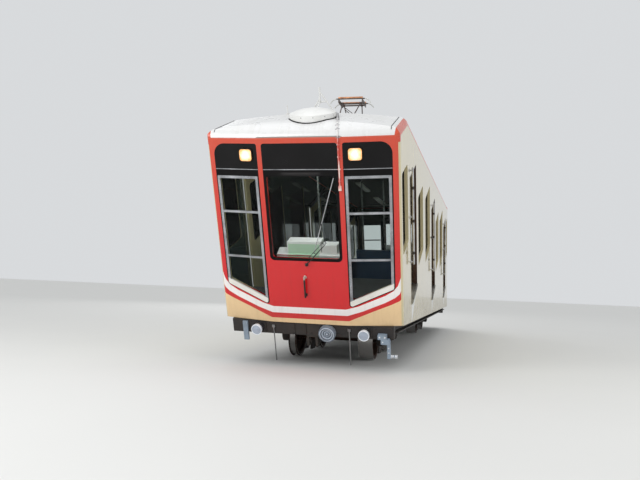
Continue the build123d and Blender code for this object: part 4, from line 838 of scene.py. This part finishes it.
def seam_strips():
    """Thin silver strips at the foot of the dark panels, with chamfered front edges."""
    shape = Shape()
    deep, out, cut, gap, half = 0.008, 0.003, 0.0015, 0.004, 0.0045
    for rear in ENDS:
        for x0, x1 in ((-CENTRE_EDGE, CENTRE_EDGE), (LIGHT_START, LIGHT_END), (-LIGHT_END, -LIGHT_START)):
            x0, x1 = x0 + gap, x1 - gap
            section = ((x0, -deep), (x0, out - cut), (x0 + cut, out),
                       (x1 - cut, out), (x1, out - cut), (x1, -deep))
            shape.prism([on_end(x, y, SEAM - half, rear) for x, y in section], (0, 0, 2 * half))
    piece(shape, "seam_strips", "frame_silver")


def headlight_bezels():
    """Dark chrome frame round each headlight, from loops of width, height, corner and distance out."""
    shape = Shape()
    section = ((0.194, 0.178, 0.048, 0.0), (0.194, 0.178, 0.048, 0.014), (0.188, 0.172, 0.045, 0.019),
               (0.166, 0.150, 0.035, 0.019), (0.164, 0.148, 0.034, 0.0))
    for rear, side in CORNERS:
        loops = []
        for width, height, corner, out in section:
            outline = rounded_square(width, height, corner)
            loops.append([on_end(side * LAMP_X + x, out, LAMP_G + z, rear) for x, z in outline])
        shape.loft(loops, closed=True)
    piece(shape, "headlight_bezels", "bezel")


def headlight_lenses():
    """Ribbed and slightly domed lens over each headlight."""
    shape = Shape()
    lens = (0.162, 0.146, 0.034)
    back, front, dome = 0.012, 0.0165, 0.005
    rib_depth, rib_pitch = 0.0008, 0.018
    rings = 9
    for rear, side in CORNERS:
        outline = rounded_square(*lens)
        loops = [[on_end(side * LAMP_X + x, back, LAMP_G + z, rear) for x, z in outline]]
        for i in range(rings + 1):
            share = 1 - i / (rings + 1)
            out = front + dome * (1 - share ** 2)
            loop = []
            for x, z in rounded_square(*(size * share for size in lens)):
                rib = rib_depth * math.sin(x * 2 * math.pi / rib_pitch)
                loop.append(on_end(side * LAMP_X + x, out + rib, LAMP_G + z, rear))
            loops.append(loop)
        shape.loft(loops)
    piece(shape, "headlight_lenses", "lamp_lens")


def frame_screws():
    """Small screws down the uprights of the silver window frames."""
    shape = Shape()
    inset, top, step, count = 0.033, -0.54, 0.19, 8
    head = [(0, 0.0055), (0.0012, 0.0055), (0.0022, 0.003)]
    for rear, side in CORNERS:
        for x in (LIGHT_START + inset, LIGHT_END - inset):
            for i in range(count):
                place = on_end(side * x, 0.0055, top - step * i, rear)
                shape.turned(head, place, end_facing(side * x, rear), 12)
    piece(shape, "frame_screws", "bolt_steel")


def beam_lamp_lenses():
    """Ringed lens and bright rim of each round lamp under the ends."""
    lens = Shape()
    rim = Shape()
    rim_radius, lens_radius, ring_radius = 0.070, 0.064, 0.060
    dome, rings, pitch = 0.008, 7, 0.008
    profile = [(-0.004, lens_radius), (0.002, lens_radius)]
    for i in range(rings):
        radius = ring_radius - i * pitch
        rise = dome * (1 - (radius / lens_radius) ** 2)
        profile += [(0.0005 + rise, radius), (0.003 + rise, radius - pitch / 2)]
    profile.append((0.0105, 0.001))
    for rear, side in CORNERS:
        way = outward(rear)
        face = under_end(side * BEAM_LAMP_X, BEAM_LAMP_OUT, BEAM_LAMP_LEVEL, rear)
        lens.turned(profile, face, way, 40)
        circle = [face + Vector((rim_radius * c, 0, rim_radius * s)) + way * 0.001 for c, s in turns(40)]
        rim.tube(circle, 0.0055, 8, closed=True)
    piece(lens, "beam_lamp_lenses", "beam_lens")
    piece(rim, "beam_lamp_rims", "lamp_rim")


def beam_bolts():
    """Bolts on the end beams."""
    shape = Shape()
    for rear in ENDS:
        for x in (-1.08, -0.86, -0.60, -0.40, 0.0, 0.40, 0.62, 0.88, 1.10):
            for level in (-0.035, -0.155):
                shape.bolt(under_end(x, -0.0005, level, rear), outward(rear), 0.011)
    piece(shape, "beam_bolts", "bolt_dark")


def bracket_bolts():
    """Bright bolts on the hanging brackets of the upper end, and the nuts on their rod."""
    shape = Shape()
    block, arm = 0.0595, 0.0445
    for x in (0.945, 1.015):
        shape.bolt(under_end(x, block, -0.13), outward(), 0.013)
    for x, out, level in ((0.985, block, -0.2), (1.0625, arm, -0.215), (1.0625, arm, -0.29),
                          (1.0625, arm, -0.36)):
        shape.bolt(under_end(x, out, level), outward(), 0.010)
    nut = [(0, 0.024), (0.004, 0.027), (0.010, 0.027), (0.014, 0.024)]
    for x in (1.0870, 1.110, 1.140, 1.160):
        shape.turned(nut, under_end(x, 0.032, -0.415), (1, 0, 0), 6)
    piece(shape, "bracket_bolts", "bolt_bright")


def wiper_arms():
    """Wiper's pivot, its two flat arms with their cross pins, and the link to the blade."""
    arm = WIPER_KNEE - WIPER_PIVOT
    way = arm.normalized()
    across = Vector((-way.z, 0, way.x))
    arm_out = Vector((0, -0.034, 0))
    pin_out = Vector((0, -0.031, 0))
    spacing = 0.040
    shape = Shape()
    boss = [(0, 0.024), (0.006, 0.024), (0.010, 0.018), (0.024, 0.017), (0.036, 0.013), (0.040, 0.008)]
    shape.turned(boss, WIPER_PIVOT, outward(), 24)
    for offset, tail, reach, half in ((0.0, 0.0, 1.02, 0.008), (spacing, 0.10, 0.95, 0.0045)):
        first = WIPER_PIVOT + way * tail + across * offset + arm_out
        last = WIPER_PIVOT + arm * reach + across * offset + arm_out
        tip = half * 0.6
        outline = [first + across * half, last + across * tip, last - across * tip, first - across * half]
        shape.prism(outline, (0, 0.006, 0))
    for share in (0.12, 0.5, 0.93):
        spot = WIPER_PIVOT + arm * share + pin_out
        shape.tube([spot, spot + across * spacing], 0.0035, 8)
    shape.tube([WIPER_KNEE + pin_out, BLADE_HOLDER + Vector((0, -0.024, 0))], [0.006, 0.005], 8)
    cap = [(-0.006, 0.012), (0.004, 0.012), (0.007, 0.008)]
    shape.turned(cap, BLADE_HOLDER + Vector((0, -0.022, 0)), outward(), 16)
    piece(shape, "wiper_arms", "wiper_black", replaces=("windscreen_wiper",))


def wiper_blade():
    """Wiper's pale blade, bowed away from the glass, and its rubber lip."""
    line = BLADE_HIGH - BLADE_LOW
    along = line.normalized()
    wide = Vector((along.z, 0, -along.x))
    steps = 12
    loops = []
    for i in range(steps + 1):
        bow = -0.012 - 0.010 * math.sin(math.pi * i / steps)
        middle = BLADE_LOW + line * (i / steps)
        section = ((-0.005, bow), (0.005, bow), (0.004, bow + 0.003), (-0.004, bow + 0.003))
        loops.append([middle + wide * u + Vector((0, y, 0)) for u, y in section])
    blade = Shape()
    for pair in zip(loops, loops[1:]):
        blade.loft(pair)
    piece(blade, "wiper_blade", "strap_steel")
    lip = Shape()
    half = ((-0.004, -0.012), (-0.0035, -0.004), (-0.001, 0.002))
    section = [(-u, y) for u, y in half] + list(reversed(half))
    lip.prism([BLADE_LOW + Vector((0, y, 0)) + wide * u for u, y in section], line)
    piece(lip, "wiper_lip", "rubber_black")


def handle_plates():
    """Round plates under the feet of the handle on the upper end."""
    shape = Shape()
    plate = [(0, 0.024), (0.003, 0.024), (0.006, 0.019), (0.006, 0.0125)]
    for g in (0.425, 0.675):
        shape.turned(plate, (-0.03, 0, g), outward(), 24)
    piece(shape, "handle_plates", "handle_black")


# Pieces of the roof


def roof_joints():
    """Dark beads along the joints of the shoulders, over the rounded edges of both ends."""
    shape = Shape()
    steps = 90
    for side in SIDES:
        route = []
        for i in range(steps + 1):
            share = 0.5 - 0.5 * math.cos(math.pi * i / steps)
            spot = on_roof(side * JOINT_X, JOINT_INSET + (REAR_FACE - 2 * JOINT_INSET) * share, 0.001)
            if spot:
                route.append(spot)
        shape.tube(route, 0.0045, 8)
    piece(shape, "roof_joint_beads", "rubber_black")


def ventilator_rim():
    """Sealing ring where the ventilator stands on the roof, black as a painted shadow under the dome, and
    a row of screws round its rim.
    """
    # Black ring at the ventilator's foot: painted shadow under the dome's rim
    shadow_seal = Shape()
    reach = VENT_RADIUS + 0.004
    circle = [on_roof(VENT_X + reach * c, VENT_PLACE + reach * s, 0.003) for c, s in turns(64)]
    shadow_seal.tube(circle, 0.008, 10, closed=True)
    piece(shadow_seal, "ventilator_seal", "rubber_black")
    screws = Shape()
    middle = Vector((VENT_X, VENT_PLACE, ROOF_TOP + VENT_SCREW_LEVEL))
    head = [(0, 0.007), (0.002, 0.007), (0.004, 0.004)]
    for c, s in turns(12, 0.5):
        way = Vector((c, s, 0))
        screws.turned(head, middle + way * (VENT_RADIUS - 0.001), way, 12)
    piece(screws, "ventilator_screws", "bolt_steel")


def cable_route():
    """Points under the cable, from the windscreen's pillar over the hood's rounded edge to the mast."""
    ways = [(CABLE_X, 0.0, CABLE_FOOT + 0.05), (CABLE_X, 0.0, -0.02)]
    drift = (CABLE_X - CABLE_WAY[0][0]) / CABLE_WAY[0][1]
    for step in CABLE_STEPS:
        inset = HOOD_EDGE * (1 - math.cos(math.radians(step)))
        ways.append((CABLE_X - drift * inset, inset, HOOD_RISE * math.sin(math.radians(step))))
    return [Vector((x, h, g + FACE_HEIGHT)) for x, h, g in ways] + [on_roof(x, h) for x, h in CABLE_WAY]


def cable_clamps():
    """Straps over the cable on the roof, each with two bolts."""
    half = ((0.030, 0.0), (0.030, 0.003), (0.012, 0.003), (0.011, 0.011), (0.0085, 0.0185))
    section = [(-u, v) for u, v in half] + [(0.0, 0.0222)] + list(reversed(half))
    width = 0.018
    straps = Shape()
    bolts = Shape()
    route = cable_route()
    for start, end in zip(route[1:], route[2:]):
        way = end - start
        count = int(way.length // CLAMP_SPACE)
        way.normalize()
        side = Vector((1, 0, 0)) - way * way.x
        side.normalize()
        out = side.cross(way)
        for i in range(count):
            spot = start + (end - start) * ((i + 0.5) / count)
            straps.prism([spot + side * u + out * v - way * width / 2 for u, v in section], way * width)
            for u in (-0.021, 0.021):
                bolts.bolt(spot + side * u + out * 0.003, out, 0.006)
    piece(straps, "cable_straps", "strap_steel")
    piece(bolts, "cable_strap_bolts", "bolt_steel")


def pantograph_springs():
    """Two coil springs, with their rods, between the cross rails of the collector's base."""
    low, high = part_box("pantograph_base")
    middle = (low.y + high.y) / 2
    level = PANTO_PIVOT_Z - 0.045
    half, rod_end, coil, coils, steps = 0.20, 0.295, 0.016, 16, 12
    shape = Shape()
    for x in (-0.10, 0.10):
        route = []
        for i in range(coils * steps + 1):
            turn = 2 * math.pi * i / steps
            y = middle - half + 2 * half * i / (coils * steps)
            route.append((x + coil * math.cos(turn), y, level + coil * math.sin(turn)))
        shape.tube(route, 0.0028, 6)
        for way in SIDES:
            rod = [(x, middle + way * reach, level) for reach in (half - 0.001, rod_end)]
            shape.tube(rod, 0.005, 8)
    piece(shape, "pantograph_springs", "bolt_steel", place=ROW)


# Pieces of the sides, the inside and the bogies


def axle_box_covers():
    """Round cover with eight bolts on the end of each axle box."""
    section = [(0, 0.098), (0.006, 0.098), (0.010, 0.092), (0.010, 0.060), (0.016, 0.055), (0.018, 0.02)]
    for name, wheels in (("front_bogie", (1, 2)), ("rear_bogie", (3, 4))):
        cover = Shape()
        for wheel in wheels:
            for side in SIDES:
                face = Vector((side * AXLE_BOX_FACE, axle_y(wheel), AXLE_Z))
                cover.turned(section, face, (side, 0, 0), 40)
                for c, s in turns(8):
                    cover.bolt(face + Vector((side * 0.0095, 0.078 * c, 0.078 * s)), (side, 0, 0), 0.010)
        piece(cover, f"{name}_covers", "bogie_dark", body=name, place=ROW)


def ceiling_lamps():
    """Two rows of long lamps under the roof."""
    first, pitch, length, out, count = 1.6, 2.2, 1.1, 0.45, 4
    half = ((0.04, -0.042), (0.065, -0.03), (0.07, 0.0))
    section = [(-u, v) for u, v in reversed(half)] + list(half)
    shape = Shape()
    for side in SIDES:
        for i in range(count):
            h = first + pitch * i
            start, end = (meet_roof((side * out, place, FACE_HEIGHT - place * FALL - 0.3), (0, 0, 1))
                          for place in (h, h + length))
            if start and end:
                shape.prism([start + Vector((u, 0, v)) for u, v in section], end - start)
    piece(shape, "ceiling_lamps", "ceiling_lamp")


def door_pulls():
    """Flush pull plate with a cup on each door, from loops of scale and distance out."""
    section = ((1.0, 0.0), (1.0, 0.002), (0.92, 0.003), (0.66, 0.003), (0.62, 0.0005))
    outline = rounded_square(0.05, 0.17, 0.02)
    inset, level = 0.07, 1.02
    face = HALF - WALL - 0.010
    for bay in range(DOOR_COUNT):
        h = DOOR_START + bay * BAY + inset
        g = DOOR_SILL - bay * BAY * FALL + level
        for side, name in ((1, "right"), (-1, "left")):
            shape = Shape()
            shape.loft([[Vector((side * (face + out), h + u * scale, g + v * scale)) for u, v in outline]
                        for scale, out in section], closed=True)
            door = f"{name}_door_{bay + 1}"
            piece(shape, f"{door}_pull", "bolt_steel", body=door)


for make in (seam_strips, headlight_bezels, headlight_lenses, frame_screws, roof_joints, ventilator_rim,
             cable_clamps, beam_lamp_lenses, beam_bolts, bracket_bolts, wiper_arms, wiper_blade,
             handle_plates, axle_box_covers, pantograph_springs, ceiling_lamps, door_pulls):
    make()


# Stage: floor, surroundings, lamps and camera


def stage_thing(name, data):
    """Object of the stage, which isn't part of the car."""
    thing = bpy.data.objects.new(name, data)
    bpy.context.scene.collection.objects.link(thing)
    return thing


def stage_floor(reach):
    """Plain pale floor with a very faint grain."""
    paint = Paint("floor_pale")
    tone = paint.mix(paint.noise(0.6, 3.0), FLOOR_COLOUR, tuple(c * 0.985 for c in FLOOR_COLOUR))
    paint.set(tone, 0.8)
    mesh = bpy.data.meshes.new("floor")
    mesh.from_pydata([(-reach, -reach, 0), (reach, -reach, 0), (reach, reach, 0), (-reach, reach, 0)], [],
                     [(0, 1, 2, 3)])
    mesh.materials.append(paint.material)
    stage_thing("floor", mesh)


def surroundings():
    """Pale background, brighter where it is seen, mirrored or seen through glass than as a light."""
    world = bpy.data.worlds.new("studio")
    bpy.context.scene.world = world
    world.use_nodes = True
    tree = world.node_tree
    background = tree.nodes["Background"]
    background.inputs["Color"].default_value = BACKGROUND
    rays = tree.nodes.new("ShaderNodeLightPath")
    seen = rays.outputs["Is Camera Ray"]
    for kind in ("Is Glossy Ray", "Is Transmission Ray"):
        either = tree.nodes.new("ShaderNodeMath")
        either.operation = "MAXIMUM"
        tree.links.new(seen, either.inputs[0])
        tree.links.new(rays.outputs[kind], either.inputs[1])
        seen = either.outputs[0]
    level = tree.nodes.new("ShaderNodeMapRange")
    level.inputs["To Min"].default_value = BACKGROUND_AS_LIGHT
    level.inputs["To Max"].default_value = BACKGROUND_SEEN
    tree.links.new(seen, level.inputs["Value"])
    tree.links.new(level.outputs[0], background.inputs["Strength"])


def lamp(name, place, aim, size, power):
    """Soft square lamp that points at a place."""
    data = bpy.data.lights.new(name, "AREA")
    data.shape = "SQUARE"
    data.size = size
    data.energy = power
    thing = stage_thing(name, data)
    thing.location = place
    thing.rotation_euler = (Vector(aim) - Vector(place)).to_track_quat("-Z", "Y").to_euler()


def sky(strength, angle):
    """Wide soft light from straight above."""
    data = bpy.data.lights.new("sky", "SUN")
    data.energy = strength
    data.angle = math.radians(angle)
    stage_thing("sky", data)


def photo_camera():
    """Camera where the photo's camera stood, from a fit to edge points of the photo in the hill frame."""
    data = bpy.data.cameras.new("camera")
    data.sensor_width = 36.0
    data.lens = FOCAL_PIXELS / IMAGE_WIDTH * data.sensor_width
    camera = bpy.data.objects.new("camera", data)
    back = CAMERA_RIGHT.cross(CAMERA_UP).normalized()
    up = back.cross(CAMERA_RIGHT).normalized()
    turn = Matrix((CAMERA_RIGHT.normalized(), up, back)).transposed().to_4x4()
    camera.matrix_world = Matrix.Translation(HILL @ Vector(CAMERA_PLACE)) @ turn
    bpy.context.scene.collection.objects.link(camera)
    bpy.context.scene.camera = camera


FLOOR_COLOUR = (0.87, 0.87, 0.86)
BACKGROUND = (0.86, 0.88, 0.90, 1.0)
BACKGROUND_AS_LIGHT = 0.6
BACKGROUND_SEEN = 0.8
stage_floor(60.0)
surroundings()
lamp("key", (-6, -15, 6.5), (0, -4, 1.5), 6.0, 730)
lamp("cab", HILL @ Vector((0.0, 0.22, 2.1)), HILL @ Vector((0.0, 0.30, 1.0)), 0.5, 9)
lamp("fill", (11, -9, 5), (0, -2, 1.5), 6.0, 300)
lamp("back", (-7, 14, 8), (0, 2, 2), 7.0, 280)
sky(0.78, 60)

# The photo's width and the fitted focal length, in pixels, and the camera's place and directions
IMAGE_WIDTH = 640
FOCAL_PIXELS = 660
CAMERA_PLACE = (2.27397, -7.78484, 3.91396)
CAMERA_RIGHT = Vector((0.96965, 0.24114, 0.04034))
CAMERA_UP = Vector((-0.02359, -0.07192, 0.99715))
photo_camera()
bpy.context.scene.view_settings.view_transform = "Standard"
